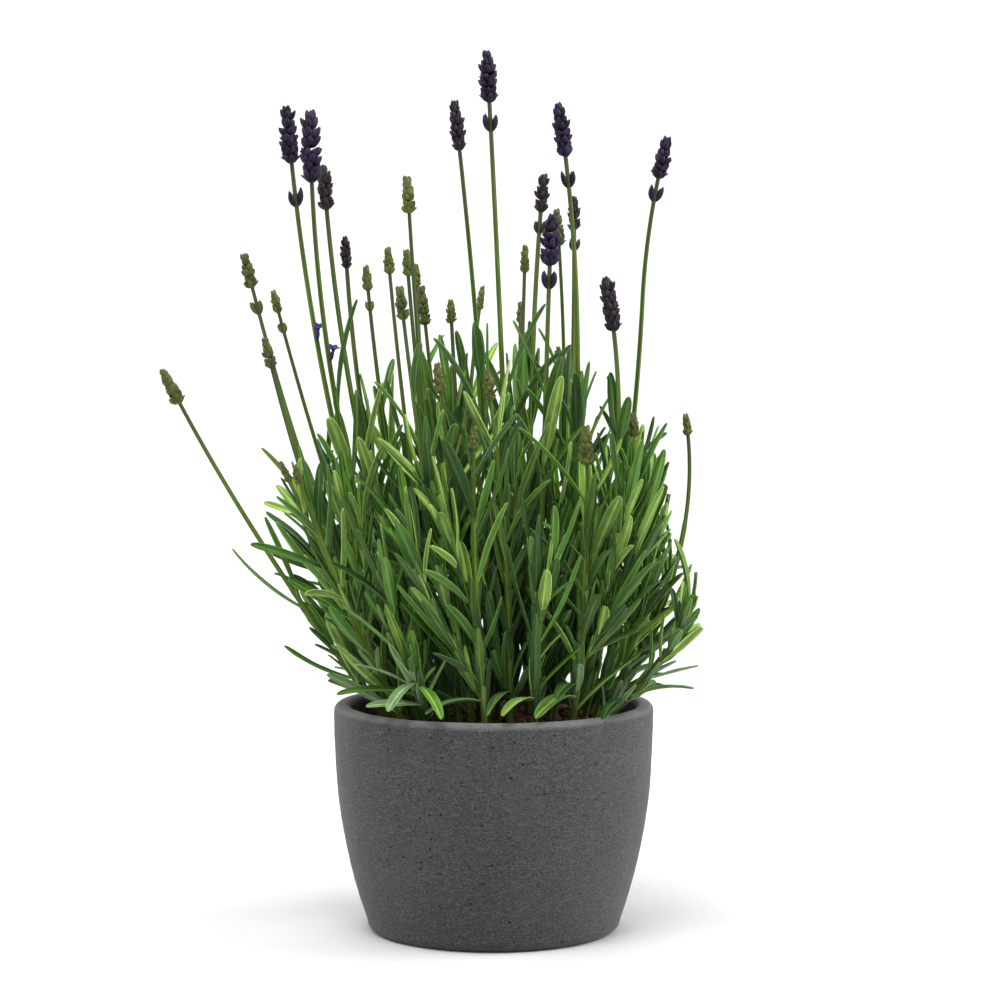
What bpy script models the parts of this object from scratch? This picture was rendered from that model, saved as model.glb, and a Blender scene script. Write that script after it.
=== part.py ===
"""A pot of lavender: a turned pot, its potting soil, stalks, flower spikes and leafy shoots.

The frame's origin is the middle of the pot's foot, on the surface that it stands on. +Z is up and -Y is
the front. Every stem is rooted in its own socket in the soil. A stalk or a shoot is one grown piece, with
its leaves and its green bud. The spikes that have coloured up are pieces of their own, on their stalks.
"""

import math
import random

import bmesh
import bpy
import numpy as np
from mathutils import Vector

MM = 0.001

# ---- pot and soil ----
POT_HEIGHT = 100 * MM
POT_RADIUS = 70 * MM
POT_BASE_INSET = 16 * MM
POT_INSET_POWER = 2.4
POT_WALL = 7.5 * MM
POT_FLOOR = 10 * MM
POT_FOOT_ROUND = 5 * MM
POT_LIP_ROUND = 3 * MM
SOIL_EDGE = 90 * MM
SOIL_DOME = 3 * MM
CLEARANCE = 0.35 * MM
TURNED_STEPS = 36

# ---- plant ----
ROOTED_DEPTH = 8 * MM
STEM_RADIUS = 1.4 * MM
NECK_RADIUS = 1.0 * MM
LEAF_THICKNESS = 0.9 * MM
LEAF_PARTS = 3
# A leaf may meet its own shoot this close to the stem, and this close to the leaf's base.
NEAR_STEM = 3.6 * MM
NEAR_BASE = 7.5 * MM

# ---- outline of the bush: how far and how high its leaves reach ----
BUSH_HALF = 75 * MM
BUSH_TOP = 272 * MM
BUSH_FALL = 48 * MM
RIGHT_BULGE = 16 * MM
RIGHT_BULGE_HEIGHT = 135 * MM
LEFT_BULGE = 34 * MM
LEFT_BULGE_HEIGHT = 180 * MM
BULGE_SPAN = 35 * MM
STEM_PARTS = 5
NOD_FROM = 0.72
WHORL_LENGTH = 8 * MM
PLANT_SEED = 7

# Flowering stalks whose spike has coloured up, in millimetres. Name, base (x, y), tip (x, y, z), sideways
# bow at mid-height, head (length, radius), the gap down to a lower whorl if there is one, and how far the
# top of the stalk nods to the right.
COLOURED = [
    ("01", (-34, 4), (-90, 5, 360), -9, (25, 4.4), 11, 0),
    ("02", (-31, -10), (-79, -8, 357), -12, (31, 5.2), None, 0),
    ("03", (-27, 16), (-75, 20, 335), -8, (20, 3.8), None, 0),
    ("04", (-28, 28), (-66, 30, 304), -7, (14.5, 2.7), None, 0),
    ("05", (2, -9), (-17, -10, 362), 3, (21.5, 3.4), None, 0),
    ("06", (9, 2), (-3, 5, 384), 1, (22, 4.2), 4.4, 0),
    ("07", (15, 12), (21, 16, 331), -2, (16.6, 3.2), 1, 1),
    ("08", (17, -19), (24, -22, 313), 1, (22, 4.6), 1.5, 1),
    ("09", (24, 0), (29, 0, 361), 10, (23, 4.0), 5, -1),
    ("10", (27, 37), (36, 52, 322), 3, (15, 3.0), 1, 0),
    ("11", (34, -22), (49, -25, 286), 11, (23, 3.9), None, -1),
    ("12", (40, 8), (66, 10, 347), 8, (18, 3.8), 2, 10),
]

# Stalks that end in a bud that is still green, given the same way but without a nod. A fork is a side
# stalk: how far up it leaves the main one, its tip and its bud.
GREEN = [
    ("13", (-46, -4), (-143, -12, 246), -5, (17, 3.5), None, None),
    ("14", (-41, 5), (-108, -5, 296), -5, (15, 3.3), 4, None),
    ("15", (-37, 14), (-97, 15, 280), -3, (10, 2.4), 1, None),
    ("16", (-40, -19), (-98, -22, 260), -5, (13.5, 2.9), None, None),
    ("17", (-23, 7), (-56, 12, 291), -4, (11, 2.5), 0.5, None),
    ("18", (-20, -5), (-46, -5, 299), -2, (11.5, 2.6), None, None),
    ("19", (-16, -15), (-37, -18, 329), -2, (15.5, 3.4), None, None),
    ("20", (-15, 27), (-39, 35, 298), -2, (11.5, 2.6), None, (0.3, (-35, 48, 292), (9.6, 2.2))),
    ("21", (-14, -25), (-40, -28, 282), -1, (14, 3.2), None, None),
    ("22", (-9, 18), (-32, 25, 282), -1, (17, 2.8), None, None),
    ("23", (-6, 8), (-19, 14, 276), -1, (9.8, 2.5), None, (0.3, (-5, 40, 282), (10, 1.9))),
    ("24", (8, 23), (14, 28, 300), 0, (12, 2.3), None, (0.3, (12, 50, 275), (9, 2.0))),
    ("25", (25, 25), (28, 36, 316), 5, (16, 3.2), None, None),
    ("26", (18, 40), (29, 42, 255), 1, (6.8, 1.7), None, None),
    ("27", (45, 3), (84, 5, 226), 15, (9.4, 2.3), None, None),
]

# Leafy shoots: name, base, tip, bow, bud if there is one, and a fork like those of the green stalks.
LEAFY = [
    ("01", (33, -35), (39, -48, 224), 3, (17, 3.4), (0.25, (46, -42, 190), None)),
    ("02", (43, -12), (60, -20, 228), 6, (10.5, 2.6), (0.25, (66, -6, 196), None)),
    ("03", (7, -31), (-3, -38, 247), 3, (13, 2.9), (0.2, (10, -28, 205), None)),
    ("04", (-9, -34), (-24, -34, 250), 1, (13, 2.7), (0.25, (-32, -46, 205), None)),
    ("05", (-2, -20), (-9, -18, 234), 1, (10, 2.8), (0.25, (4, -14, 215), None)),
    ("06", (-3, -45), (-8, -50, 224), -2, (10, 2.4), (0.2, (-20, -58, 180), None)),
    ("07", (46, -20), (70, -20, 176), 4, (8.5, 2.6), (0.3, (58, -36, 168), None)),
    ("08", (17, -43), (17, -56, 174), 1, (7.5, 2.2), (0.3, (27, -62, 175), (7.5, 2.3))),
    ("09", (-36, -30), (-84, -46, 207), -3, (8.7, 2.1), (0.35, (-91, -34, 208), (8.7, 1.9))),
    ("10", (-45, 12), (-84, 10, 188), -5, None, (0.3, (-76, 30, 190), None)),
    ("11", (-26, -34), (-34, -56, 120), 0, None, (0.35, (-52, -44, 150), None)),
    ("12", (41, -30), (87, -26, 160), 11, None, (0.35, (80, -44, 140), None)),
    ("13", (42, 18), (78, 26, 190), 4, None, (0.3, (64, 42, 200), None)),
    ("14", (36, 29), (52, 52, 195), 2, None, (0.3, (42, 64, 175), None)),
    ("15", (8, 41), (2, 62, 205), 0, None, (0.3, (18, 66, 190), None)),
    ("16", (-24, 39), (-46, 60, 205), -2, None, (0.3, (-26, 66, 190), None)),
    ("17", (-11, -3), (-18, -2, 225), 0, None, (0.25, (-30, 4, 205), None)),
    ("18", (26, -12), (36, -10, 222), 2, None, (0.25, (24, -28, 200), None)),
    ("19", (-40, 24), (-66, 44, 180), -2, None, (0.3, (-84, 34, 160), None)),
]

# Low leaves that droop over the soil and the rim. Shoot, how far along its stem in millimetres, heading in
# degrees from +X, length, width, and the lean from upright in degrees at the leaf's base and at its tip.
DROOPING = [
    ("03", 16, 222, 36, 5.8, (75, 122)),
    ("08", 16, 228, 31, 6.0, (72, 120)),
    ("01", 16, 226, 37, 6.0, (75, 120)),
    ("01", 21, 252, 31, 5.4, (70, 116)),
    ("06", 15, 214, 30, 5.6, (72, 120)),
    ("12", 17, 224, 34, 5.4, (75, 118)),
    ("11", 26, 318, 32, 5.8, (84, 132)),
    ("11", 29, 290, 28, 5.6, (90, 138)),
    ("11", 31, 258, 24, 5.2, (92, 138)),
    ("11", 23, 190, 36, 5.2, (72, 104)),
    ("11", 20, 345, 30, 5.4, (68, 100)),
    ("12", 19, 342, 34, 4.8, (62, 96)),
    ("02", 14, 318, 30, 4.8, (60, 106)),
]

# Single long leaves at the edge of the bush. Shoot, share of the way up its stem, the side that the leaf
# grows to (-1 left, 1 right), its lean from the stem, how much that changes to its tip, length and width.
SINGLE = [
    ("stalk_13", 0.33, -1, 0.5, -0.45, 41, 5.0),
    ("stalk_13", 0.335, 1, 0.3, -0.2, 39, 6.6),
    ("stalk_13", 0.13, -1, 0.75, -0.5, 34, 5.0),
    ("stalk_12", 0.36, 1, 0.3, -0.25, 44, 5.4),
    ("stalk_12", 0.44, -1, 0.25, 0.2, 40, 5.2),
    ("stalk_27", 0.3, 1, 0.35, -0.5, 34, 4.8),
    ("stalk_14", 0.42, -1, 0.25, 0.2, 42, 5.0),
    ("stalk_15", 0.5, 1, 0.2, -0.2, 46, 6.4),
    ("stalk_02", 0.52, 1, 0.18, 0.35, 48, 6.4),
    ("stalk_04", 0.5, 1, 0.2, -0.3, 46, 5.6),
    ("stalk_06", 0.48, 1, 0.3, 0.3, 46, 5.6),
    ("stalk_05", 0.44, -1, 0.25, 0.4, 44, 5.6),
]


# ======== layout: the curve of every stem and leaf ========


def soil_height(x, y):
    reach = POT_RADIUS - POT_WALL
    return SOIL_EDGE + SOIL_DOME * max(0.0, 1 - (x * x + y * y) / (reach * reach))


class Stem:
    """A stem's middle line: a quadratic curve, straight where it is in the soil. Its top part also bends
    sideways, by `nod` at its tip."""

    def __init__(self, base, control, tip, nod=0.0):
        self.base, self.control, self.tip, self.nod = base, control, tip, nod
        steps = [self.at(i / 20) for i in range(21)]
        self.length = sum((b - a).length for a, b in zip(steps, steps[1:]))

    def at(self, t):
        if t < 0:
            return self.base + self.heading(0) * (t * self.length)
        curve = (1 - t) ** 2 * self.base + 2 * t * (1 - t) * self.control + t * t * self.tip
        return curve + Vector((self.nod * self.in_nod(t) ** 2, 0, 0))

    def in_nod(self, t):
        return max(0.0, (t - NOD_FROM) / (1 - NOD_FROM))

    def heading(self, t):
        t = max(t, 0.0)
        along = (1 - t) * (self.control - self.base) + t * (self.tip - self.control)
        return (along + Vector((self.nod * self.in_nod(t) / (1 - NOD_FROM), 0, 0))).normalized()

    def radius(self, t):
        return STEM_RADIUS + (NECK_RADIUS - STEM_RADIUS) * max(t, 0.0)


def stem_between(base, tip, bow, nod):
    middle = (base + tip) / 2
    return Stem(base, middle + Vector((2 * bow, 0, 0)), tip, nod)


class Leaf:
    """A leaf's middle line: an arc that leaves the stem at an angle and opens out or curls back up."""

    def __init__(self, start, stem_heading, outward, spread, curl, length, width):
        self.start, self.along, self.outward = start, stem_heading, outward
        self.spread, self.curl, self.length, self.width = spread, curl, length, width
        self.side = stem_heading.cross(outward).normalized()

    def at(self, s):
        a, b = self.spread, self.spread + self.curl * s
        reach = self.length / self.curl
        up, out = reach * (math.sin(b) - math.sin(a)), reach * (math.cos(a) - math.cos(b))
        return self.start + self.along * up + self.outward * out

    def heading(self, s):
        angle = self.spread + self.curl * s
        return self.along * math.cos(angle) + self.outward * math.sin(angle)

    def face(self, s):
        """The way that the leaf's upper face looks."""
        return self.heading(s).cross(self.side)

    def half_width(self, s):
        return self.width / 2 * np.sin(math.pi * (0.07 + 0.83 * s**1.25))


class Thicket:
    """Which shoot holds each small cube of the space over the pot, so that none grows through another."""

    CELL = 2 * MM
    LOW = np.array((-200, -140, 60)) * MM
    SIZE = (180, 140, 180)
    AROUND = [(i, j, k) for i in (-1, 0, 1) for j in (-1, 0, 1) for k in (-1, 0, 1)]

    def __init__(self):
        self.owner = np.zeros(self.SIZE, int)

    def cells(self, points):
        return np.floor((np.array(points).reshape(-1, 3) - self.LOW) / self.CELL).astype(int)

    def free(self, points, owner):
        """True if the cubes at these points are empty, or held by the owner itself."""
        found = self.owner[tuple(self.cells(points).T)]
        return not ((found != 0) & (found != owner)).any()

    def room_for(self, leaf, number):
        """A leaf may touch the stem that it grows on, but only near its base, and no other leaf."""
        near, far = leaf_points(leaf)
        return self.free(near, number) and self.free(far, 0)

    def take_leaf(self, leaf, number):
        near, far = leaf_points(leaf)
        self.take(near, number)
        self.take(far, -number)

    def take(self, points, owner):
        cells = self.cells(points)
        for shift in self.AROUND:
            self.owner[tuple((cells + shift).T)] = owner


def stem_points(stem, first=0.0, last=1.0):
    count = int(stem.length * (last - first) / (1.5 * MM)) + 2
    return [stem.at(first + (last - first) * i / (count - 1)) for i in range(count)]


def leaf_points(leaf):
    """Points all over a leaf, in two lists: those close to its stem and the rest."""
    s = np.linspace(0.06, 1, int(leaf.length / (1.5 * MM)) + 2)
    angle = leaf.spread + leaf.curl * s
    reach = leaf.length / leaf.curl
    up = reach * (np.sin(angle) - math.sin(leaf.spread))
    out = reach * (math.cos(leaf.spread) - np.cos(angle))
    half = leaf.half_width(s)[:, None] * np.array((-1, -0.5, 0, 0.5, 1))
    middle = np.array(leaf.start) + np.outer(up, leaf.along) + np.outer(out, leaf.outward)
    points = middle[:, None] + half[..., None] * np.array(leaf.side)
    near = (out < NEAR_STEM) | (s * leaf.length < NEAR_BASE)
    return points[near].reshape(-1, 3), points[~near].reshape(-1, 3)


def has_space(leaf):
    """True if the leaf stays above the soil and the rim, and inside the outline of the bush."""
    x, y, z = np.concatenate(leaf_points(leaf)).T
    from_axis = np.hypot(x, y)
    low = SOIL_EDGE + SOIL_DOME * np.clip(1 - (from_axis / (POT_RADIUS - POT_WALL)) ** 2, 0, 1) + 1.2 * MM
    over_rim = (from_axis > POT_RADIUS - POT_WALL - 2 * MM) & (from_axis < POT_RADIUS + 3 * MM)
    low = np.where(over_rim, POT_HEIGHT + 1.2 * MM, low)
    low = np.where(from_axis >= POT_RADIUS + 3 * MM, POT_HEIGHT - 4 * MM, low)
    right = BUSH_HALF + RIGHT_BULGE * np.exp(-(((z - RIGHT_BULGE_HEIGHT) / BULGE_SPAN) ** 2))
    left = BUSH_HALF + LEFT_BULGE * np.exp(-(((z - LEFT_BULGE_HEIGHT) / BULGE_SPAN) ** 2))
    top = BUSH_TOP - BUSH_FALL * np.abs(x / BUSH_HALF) ** 1.6
    inside = (z > low) & (x < right) & (x > -left) & (z < top) & (np.abs(y) < BUSH_HALF)
    return bool(inside.all())


class Shoot:
    """A stalk or a leafy shoot: its stems, the heads on them, and its leaves."""

    def __init__(self, name, number):
        self.name, self.number = name, number
        self.twist = 1.1 * number
        self.axes, self.leaves = [], []

    def add_axis(self, stem, head, gap, kind):
        """head is (length, radius) or None. The axis ends in it, and a lower whorl sits a gap below it."""
        neck = 1.0
        if head:
            below = head[0] + (gap + WHORL_LENGTH if gap is not None else 0)
            neck = 1 - below / stem.length
        self.axes.append({"stem": stem, "head": head, "gap": gap, "neck": neck, "kind": kind})


def across(heading, turn):
    """Two directions square to a stem and to each other, turned round it."""
    first = heading.cross(Vector((0, 1, 0))).normalized()
    second = heading.cross(first)
    return (
        first * math.cos(turn) + second * math.sin(turn),
        second * math.cos(turn) - first * math.sin(turn),
    )


def try_leaf(shoot, stem, t, turn, plan, rng, thicket):
    """Grows one leaf at t on the stem, turned by `turn` round it, if there is room for it."""
    heading = stem.heading(t)
    for attempt in range(16):
        outward = across(heading, turn + rng.uniform(-0.12, 0.12) * (1 + attempt * 0.1))[0]
        spread = rng.uniform(*plan["spread"])
        curl = rng.choice((-0.7 * spread, 0.2, 0.5)) * rng.uniform(0.5, 1)
        length = rng.uniform(*plan["length"]) * (1 - 0.03 * attempt)
        width = rng.uniform(*plan["width"])
        leaf = Leaf(stem.at(t) + outward * (0.3 * MM), heading, outward, spread, curl, length, width)
        if has_space(leaf) and thicket.room_for(leaf, shoot.number):
            thicket.take_leaf(leaf, shoot.number)
            shoot.leaves.append(leaf)
            return


STALK_LEAVES = {
    "first": 18 * MM, "last": 132 * MM, "spacing": 32 * MM, "length": (38 * MM, 58 * MM),
    "width": (4 * MM, 6.2 * MM), "spread": (0.17, 0.44),
}
SHOOT_LEAVES = {
    "first": 10 * MM, "last": 112 * MM, "spacing": 25 * MM, "length": (30 * MM, 48 * MM),
    "width": (4 * MM, 6.2 * MM), "spread": (0.26, 0.68),
}


def grow_leaves(shoot, plan, rng, thicket):
    """Opposite pairs of leaves on the flats of the square stem, each pair crosswise to the one below."""
    for axis in shoot.axes:
        stem = axis["stem"]
        last = min(plan["last"], stem.length * axis["neck"] - 6 * MM)
        along, turn = plan["first"] * rng.uniform(0.8, 1.3), shoot.twist + math.pi / 4
        while along < last:
            for side in (0, math.pi):
                try_leaf(shoot, stem, along / stem.length, turn + side, plan, rng, thicket)
            turn += math.pi / 2
            along += plan["spacing"] * rng.uniform(0.8, 1.25)


def droop(shoot, along, heading, length, width, lean):
    """A low leaf that arches over, from a distance along the stem."""
    stem = shoot.axes[0]["stem"]
    angle = math.radians(heading)
    outward = Vector((math.cos(angle), math.sin(angle), 0))
    first, last = math.radians(lean[0]), math.radians(lean[1])
    start = stem.at(along * MM / stem.length) + outward * (0.3 * MM)
    return Leaf(start, Vector((0, 0, 1)), outward, first, last - first, length * MM, width * MM)


def single(shoot, t, side, lean, change, length, width):
    """A leaf in the plane that runs from left to right through the stem."""
    stem = shoot.axes[0]["stem"]
    heading = stem.heading(t)
    outward = heading.cross(Vector((0, -1, 0))).normalized() * side
    return Leaf(stem.at(t) + outward * (0.3 * MM), heading, outward, lean, change, length * MM, width * MM)


# Turns in degrees, and shifts along the stem, that are tried in order until a leaf has room.
SWINGS = (0, 5, -5, 10, -10, 15, -15, 20, -20, 26, -26, 32, -32)
SHIFTS = (0, 0.01, -0.01, 0.02, -0.02, 0.04, -0.04, 0.07, -0.07)


def layout():
    """Every shoot with its stems, heads and leaves, in a fixed order."""
    rng, thicket, shoots = random.Random(PLANT_SEED), Thicket(), []

    def point(x, y, z):
        return Vector((x, y, z)) * MM

    def rooted(x, y):
        return point(x, y, soil_height(x * MM, y * MM) / MM)

    def scaled(head):
        return (head[0] * MM, head[1] * MM) if head else None

    def start(name, base, tip, bow, head, gap, kind, fork, nod=0):
        shoot = Shoot(name, len(shoots) + 1)
        main = stem_between(rooted(*base), point(*tip), bow * MM, nod * MM)
        shoot.add_axis(main, scaled(head), gap * MM if gap is not None else None, kind)
        if fork:
            share, fork_tip, fork_head = fork
            root = main.at(share)
            control = root + main.heading(share) * (0.45 * (point(*fork_tip) - root).length)
            shoot.add_axis(Stem(root, control, point(*fork_tip)), scaled(fork_head), None, "green")
        shoots.append(shoot)

    for name, base, tip, bow, head, gap, nod in COLOURED:
        start("stalk_" + name, base, tip, bow, head, gap, "coloured", None, nod)
    for name, base, tip, bow, head, gap, fork in GREEN:
        start("stalk_" + name, base, tip, bow, head, gap, "green", fork)
    for name, base, tip, bow, head, fork in LEAFY:
        start("leafy_shoot_" + name, base, tip, bow, head, None, "green", fork)

    for shoot in shoots:
        for axis in shoot.axes:
            thicket.take(stem_points(axis["stem"]), shoot.number)
            if axis["head"]:
                radius = axis["head"][1]
                sideways = [Vector(way) * radius for way in ((1, 0, 0), (-1, 0, 0), (0, 1, 0), (0, -1, 0))]
                inside = stem_points(axis["stem"], axis["neck"], 1.0)
                thicket.take([p + way for p in inside for way in sideways], shoot.number)
    by_name = {shoot.name: shoot for shoot in shoots}
    for name, t, *shape in SINGLE:
        shoot = by_name[name]
        for shift in SHIFTS:
            leaf = single(shoot, t + shift, *shape)
            if thicket.room_for(leaf, shoot.number):
                thicket.take_leaf(leaf, shoot.number)
                shoot.leaves.append(leaf)
                break
    for name, along, heading, length, width, lean in DROOPING:
        shoot = by_name["leafy_shoot_" + name]
        for swing in SWINGS:
            leaf = droop(shoot, along, heading + swing, length, width, lean)
            if has_space(leaf) and thicket.room_for(leaf, shoot.number):
                thicket.take_leaf(leaf, shoot.number)
                shoot.leaves.append(leaf)
                break
    for shoot in sorted(shoots, key=lambda s: s.name.startswith("stalk")):
        plan = STALK_LEAVES if shoot.name.startswith("stalk") else SHOOT_LEAVES
        grow_leaves(shoot, plan, rng, thicket)
    return shoots, thicket


# ======== solids ========


def clear_scene():
    for obj in list(bpy.data.objects):
        bpy.data.objects.remove(obj)


def new_collection(name, hidden=False):
    collection = bpy.data.collections.new(name)
    bpy.context.scene.collection.children.link(collection)
    collection.hide_render = hidden
    return collection


def make_material(name, colour, roughness):
    material = bpy.data.materials.new(name)
    material.use_nodes = True
    shader = material.node_tree.nodes["Principled BSDF"]
    shader.inputs["Base Color"].default_value = (*colour, 1)
    shader.inputs["Roughness"].default_value = roughness
    shader.inputs["Metallic"].default_value = 0.0
    return material


def add_object(name, mesh, material, collection):
    obj = bpy.data.objects.new(name, mesh)
    if material:
        mesh.materials.append(material)
    collection.objects.link(obj)
    return obj


def turned(name, outline, material, collection):
    """A body of revolution about Z, from an outline of (radius, height) points."""
    mesh = bpy.data.meshes.new(name)
    edges = [(i, i + 1) for i in range(len(outline) - 1)]
    mesh.from_pydata([(radius, 0, height) for radius, height in outline], edges, [])
    obj = add_object(name, mesh, material, collection)
    screw = obj.modifiers.new("turn", "SCREW")
    screw.steps = screw.render_steps = TURNED_STEPS
    screw.use_merge_vertices = True
    screw.merge_threshold = 0.0001
    screw.use_smooth_shade = True
    return obj


def arc(centre, radius, start, end, count):
    """Points on an arc in the (radius, height) plane, angles in degrees from straight out."""
    angles = [math.radians(start + (end - start) * i / (count - 1)) for i in range(count)]
    return [(centre[0] + radius * math.cos(a), centre[1] + radius * math.sin(a)) for a in angles]


def pot_outer_radius(height):
    return POT_RADIUS - POT_BASE_INSET * (1 - height / POT_HEIGHT) ** POT_INSET_POWER


def pot_inner_radius(height):
    return pot_outer_radius(height) - POT_WALL


def build_pot(collection, material):
    inner = POT_RADIUS - POT_WALL
    corner = pot_inner_radius(POT_FLOOR) - POT_FOOT_ROUND
    lip = POT_HEIGHT - POT_LIP_ROUND
    foot = pot_outer_radius(POT_FOOT_ROUND)
    outline = [(0, POT_FLOOR)]
    outline += arc((corner, POT_FLOOR + POT_FOOT_ROUND), POT_FOOT_ROUND, -90, 0, 4)
    outline += [(pot_inner_radius(h * MM), h * MM) for h in (34, 58, 82)]
    outline += arc((inner + POT_LIP_ROUND, lip), POT_LIP_ROUND, 180, 90, 4)
    outline += arc((POT_RADIUS - POT_LIP_ROUND, lip), POT_LIP_ROUND, 90, 0, 4)
    outline += [(pot_outer_radius(h * MM), h * MM) for h in (80, 60, 42, 26, 14)]
    outline += arc((foot - POT_FOOT_ROUND, POT_FOOT_ROUND), POT_FOOT_ROUND, 0, -90, 5)
    outline += [(0, 0)]
    return turned("pot", outline, material, collection)


def build_soil(collection, material):
    floor = POT_FLOOR + CLEARANCE
    rounded = POT_FOOT_ROUND + 1 * MM
    corner = pot_inner_radius(POT_FLOOR) - rounded - CLEARANCE
    edge = pot_inner_radius(SOIL_EDGE) - CLEARANCE
    outline = [(0, SOIL_EDGE + SOIL_DOME)]
    outline += [(r * MM, soil_height(r * MM, 0)) for r in (25, 45)]
    outline += [(edge, SOIL_EDGE)]
    outline += [(pot_inner_radius(h * MM) - 2 * CLEARANCE, h * MM) for h in (58, 34)]
    outline += arc((corner, floor + rounded), rounded, 0, -90, 3)
    outline += [(0, floor)]
    return turned("potting_soil", outline, material, collection)


def unit_prism(sides, parts):
    """A prism of radius 1 from z 0 to z 1, cut into rings along its length."""
    mesh = bpy.data.meshes.new(f"prism_{sides}_{parts}")
    shape = bmesh.new()
    bmesh.ops.create_cone(shape, cap_ends=True, segments=sides, radius1=1, radius2=1, depth=1)
    if parts > 1:
        upright = [e for e in shape.edges if abs(e.verts[0].co.z - e.verts[1].co.z) > 0.5]
        bmesh.ops.subdivide_edges(shape, edges=upright, cuts=parts - 1, use_grid_fill=True)
    for vertex in shape.verts:
        vertex.co.z += 0.5
    bmesh.ops.recalc_face_normals(shape, faces=shape.faces)
    shape.to_mesh(mesh)
    shape.free()
    return mesh


PRISMS = {}


def bent(shape, sides, parts, place):
    """Adds a prism to `shape`, each of its points moved by place(x, y, along)."""
    if (sides, parts) not in PRISMS:
        PRISMS[sides, parts] = unit_prism(sides, parts)
    copy = PRISMS[sides, parts].copy()
    for vertex in copy.vertices:
        vertex.co = place(*vertex.co)
    shape.from_mesh(copy)
    bpy.data.meshes.remove(copy)


def bend_along_stem(shape, stem, first, last, radius_at, sides, parts, twist=0.0):
    def place(x, y, along):
        t = first + (last - first) * along
        side, front = across(stem.heading(t), twist)
        return stem.at(t) + (side * x + front * y) * radius_at(along)

    bent(shape, sides, parts, place)


def bend_leaf(shape, leaf):
    def place(x, y, along):
        along = along**0.8
        return (
            leaf.at(along)
            + leaf.side * (x * leaf.half_width(along) / math.cos(math.pi / 6))
            + leaf.face(along) * (y * LEAF_THICKNESS / 2 * (1 - 0.5 * along))
        )

    bent(shape, 3, LEAF_PARTS, place)


def head_radius(share, radius, whorls):
    """How far a flower head stands out at a share of its height, bulging at each whorl."""
    envelope = math.sin(math.pi * (0.14 + 0.76 * share)) ** 0.6
    bulge = 0.84 + 0.16 * abs(math.sin(math.pi * whorls * share))
    return radius * envelope * bulge


def spike_profile(axis, low, high):
    """The radius along a coloured spike: a lower whorl if it has one, bare stem, then the head."""
    length = high - low
    head, radius = axis["head"]
    head_starts = 1 - head / length

    def at(along):
        if along >= head_starts:
            return head_radius((along - head_starts) / (1 - head_starts), radius, 4)
        whorl = WHORL_LENGTH / length
        if along <= whorl:
            return max(NECK_RADIUS, 0.75 * radius * math.sin(math.pi * (0.15 + 0.7 * along / whorl)))
        return NECK_RADIUS

    return at


def unite(obj, additions):
    joined = obj.modifiers.new("join", "BOOLEAN")
    joined.operation = "UNION"
    joined.solver = "EXACT"
    joined.use_self = True
    joined.object = additions


def mesh_object(name, shape, material, collection):
    mesh = bpy.data.meshes.new(name)
    shape.to_mesh(mesh)
    shape.free()
    return add_object(name, mesh, material, collection)


def build_shoot(shoot, parts, helpers, materials):
    """One node for the shoot, and one for its spike if that has coloured up."""
    main = shoot.axes[0]
    stem = main["stem"]
    trunk, additions = bmesh.new(), bmesh.new()
    rooted = -ROOTED_DEPTH / stem.length
    end = main["neck"] if main["kind"] == "coloured" else main["neck"] + 2 * MM / stem.length
    end = min(end, 1.0)

    def thickness(along):
        return stem.radius(rooted + (end - rooted) * along)

    bend_along_stem(trunk, stem, rooted, end, thickness, 4, STEM_PARTS, shoot.twist)
    for axis in shoot.axes[1:]:
        side = axis["stem"]
        top = axis["neck"] + 2 * MM / side.length if axis["head"] else 1
        bend_along_stem(additions, side, 0, top, lambda s: NECK_RADIUS * (1.1 - 0.1 * s), 4, 4, shoot.twist)
    for axis in shoot.axes:
        if axis["head"] and axis["kind"] == "green":
            length, radius = axis["head"]
            first = 1 - length / axis["stem"].length
            bend_along_stem(additions, axis["stem"], first, 1,
                            lambda s, radius=radius: head_radius(s, radius, 2), 6, 4)
            if axis["gap"] is not None:
                low = axis["neck"]
                high = low + WHORL_LENGTH / axis["stem"].length
                bend_along_stem(additions, axis["stem"], low, high,
                                lambda s, radius=radius: head_radius(s, 0.7 * radius, 1), 6, 2)
                bend_along_stem(additions, axis["stem"], low, first + 0.01,
                                lambda s: NECK_RADIUS * 0.95, 4, 2)
    for leaf in shoot.leaves:
        bend_leaf(additions, leaf)
    obj = mesh_object(shoot.name, trunk, materials["stem"], parts)
    unite(obj, mesh_object(shoot.name + "_additions", additions, None, helpers))
    if main["kind"] == "coloured":
        low = main["neck"] * stem.length + CLEARANCE
        spike = bmesh.new()
        bend_along_stem(spike, stem, low / stem.length, 1, spike_profile(main, low, stem.length), 6, 11)
        mesh_object(shoot.name.replace("stalk", "spike"), spike, materials["spike"], parts)


def build_sockets(shoots, soil, helpers):
    """Cuts a hole in the soil for the rooted end of every stem."""
    cutters = bmesh.new()
    for shoot in shoots:
        stem = shoot.axes[0]["stem"]
        straight = Stem(stem.base, stem.base + stem.heading(0) * (stem.length / 2),
                        stem.base + stem.heading(0) * stem.length)
        deep = -(ROOTED_DEPTH + CLEARANCE) / stem.length
        wide = STEM_RADIUS + CLEARANCE / math.cos(math.pi / 4)
        bend_along_stem(cutters, straight, deep, 6 * MM / stem.length, lambda s: wide, 4, 1, shoot.twist)
    cut = soil.modifiers.new("sockets", "BOOLEAN")
    cut.operation = "DIFFERENCE"
    cut.solver = "EXACT"
    cut.object = mesh_object("sockets", cutters, None, helpers)


def hide_helpers(helpers):
    for obj in helpers.objects:
        obj.hide_render = True
        obj.display_type = "WIRE"


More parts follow.
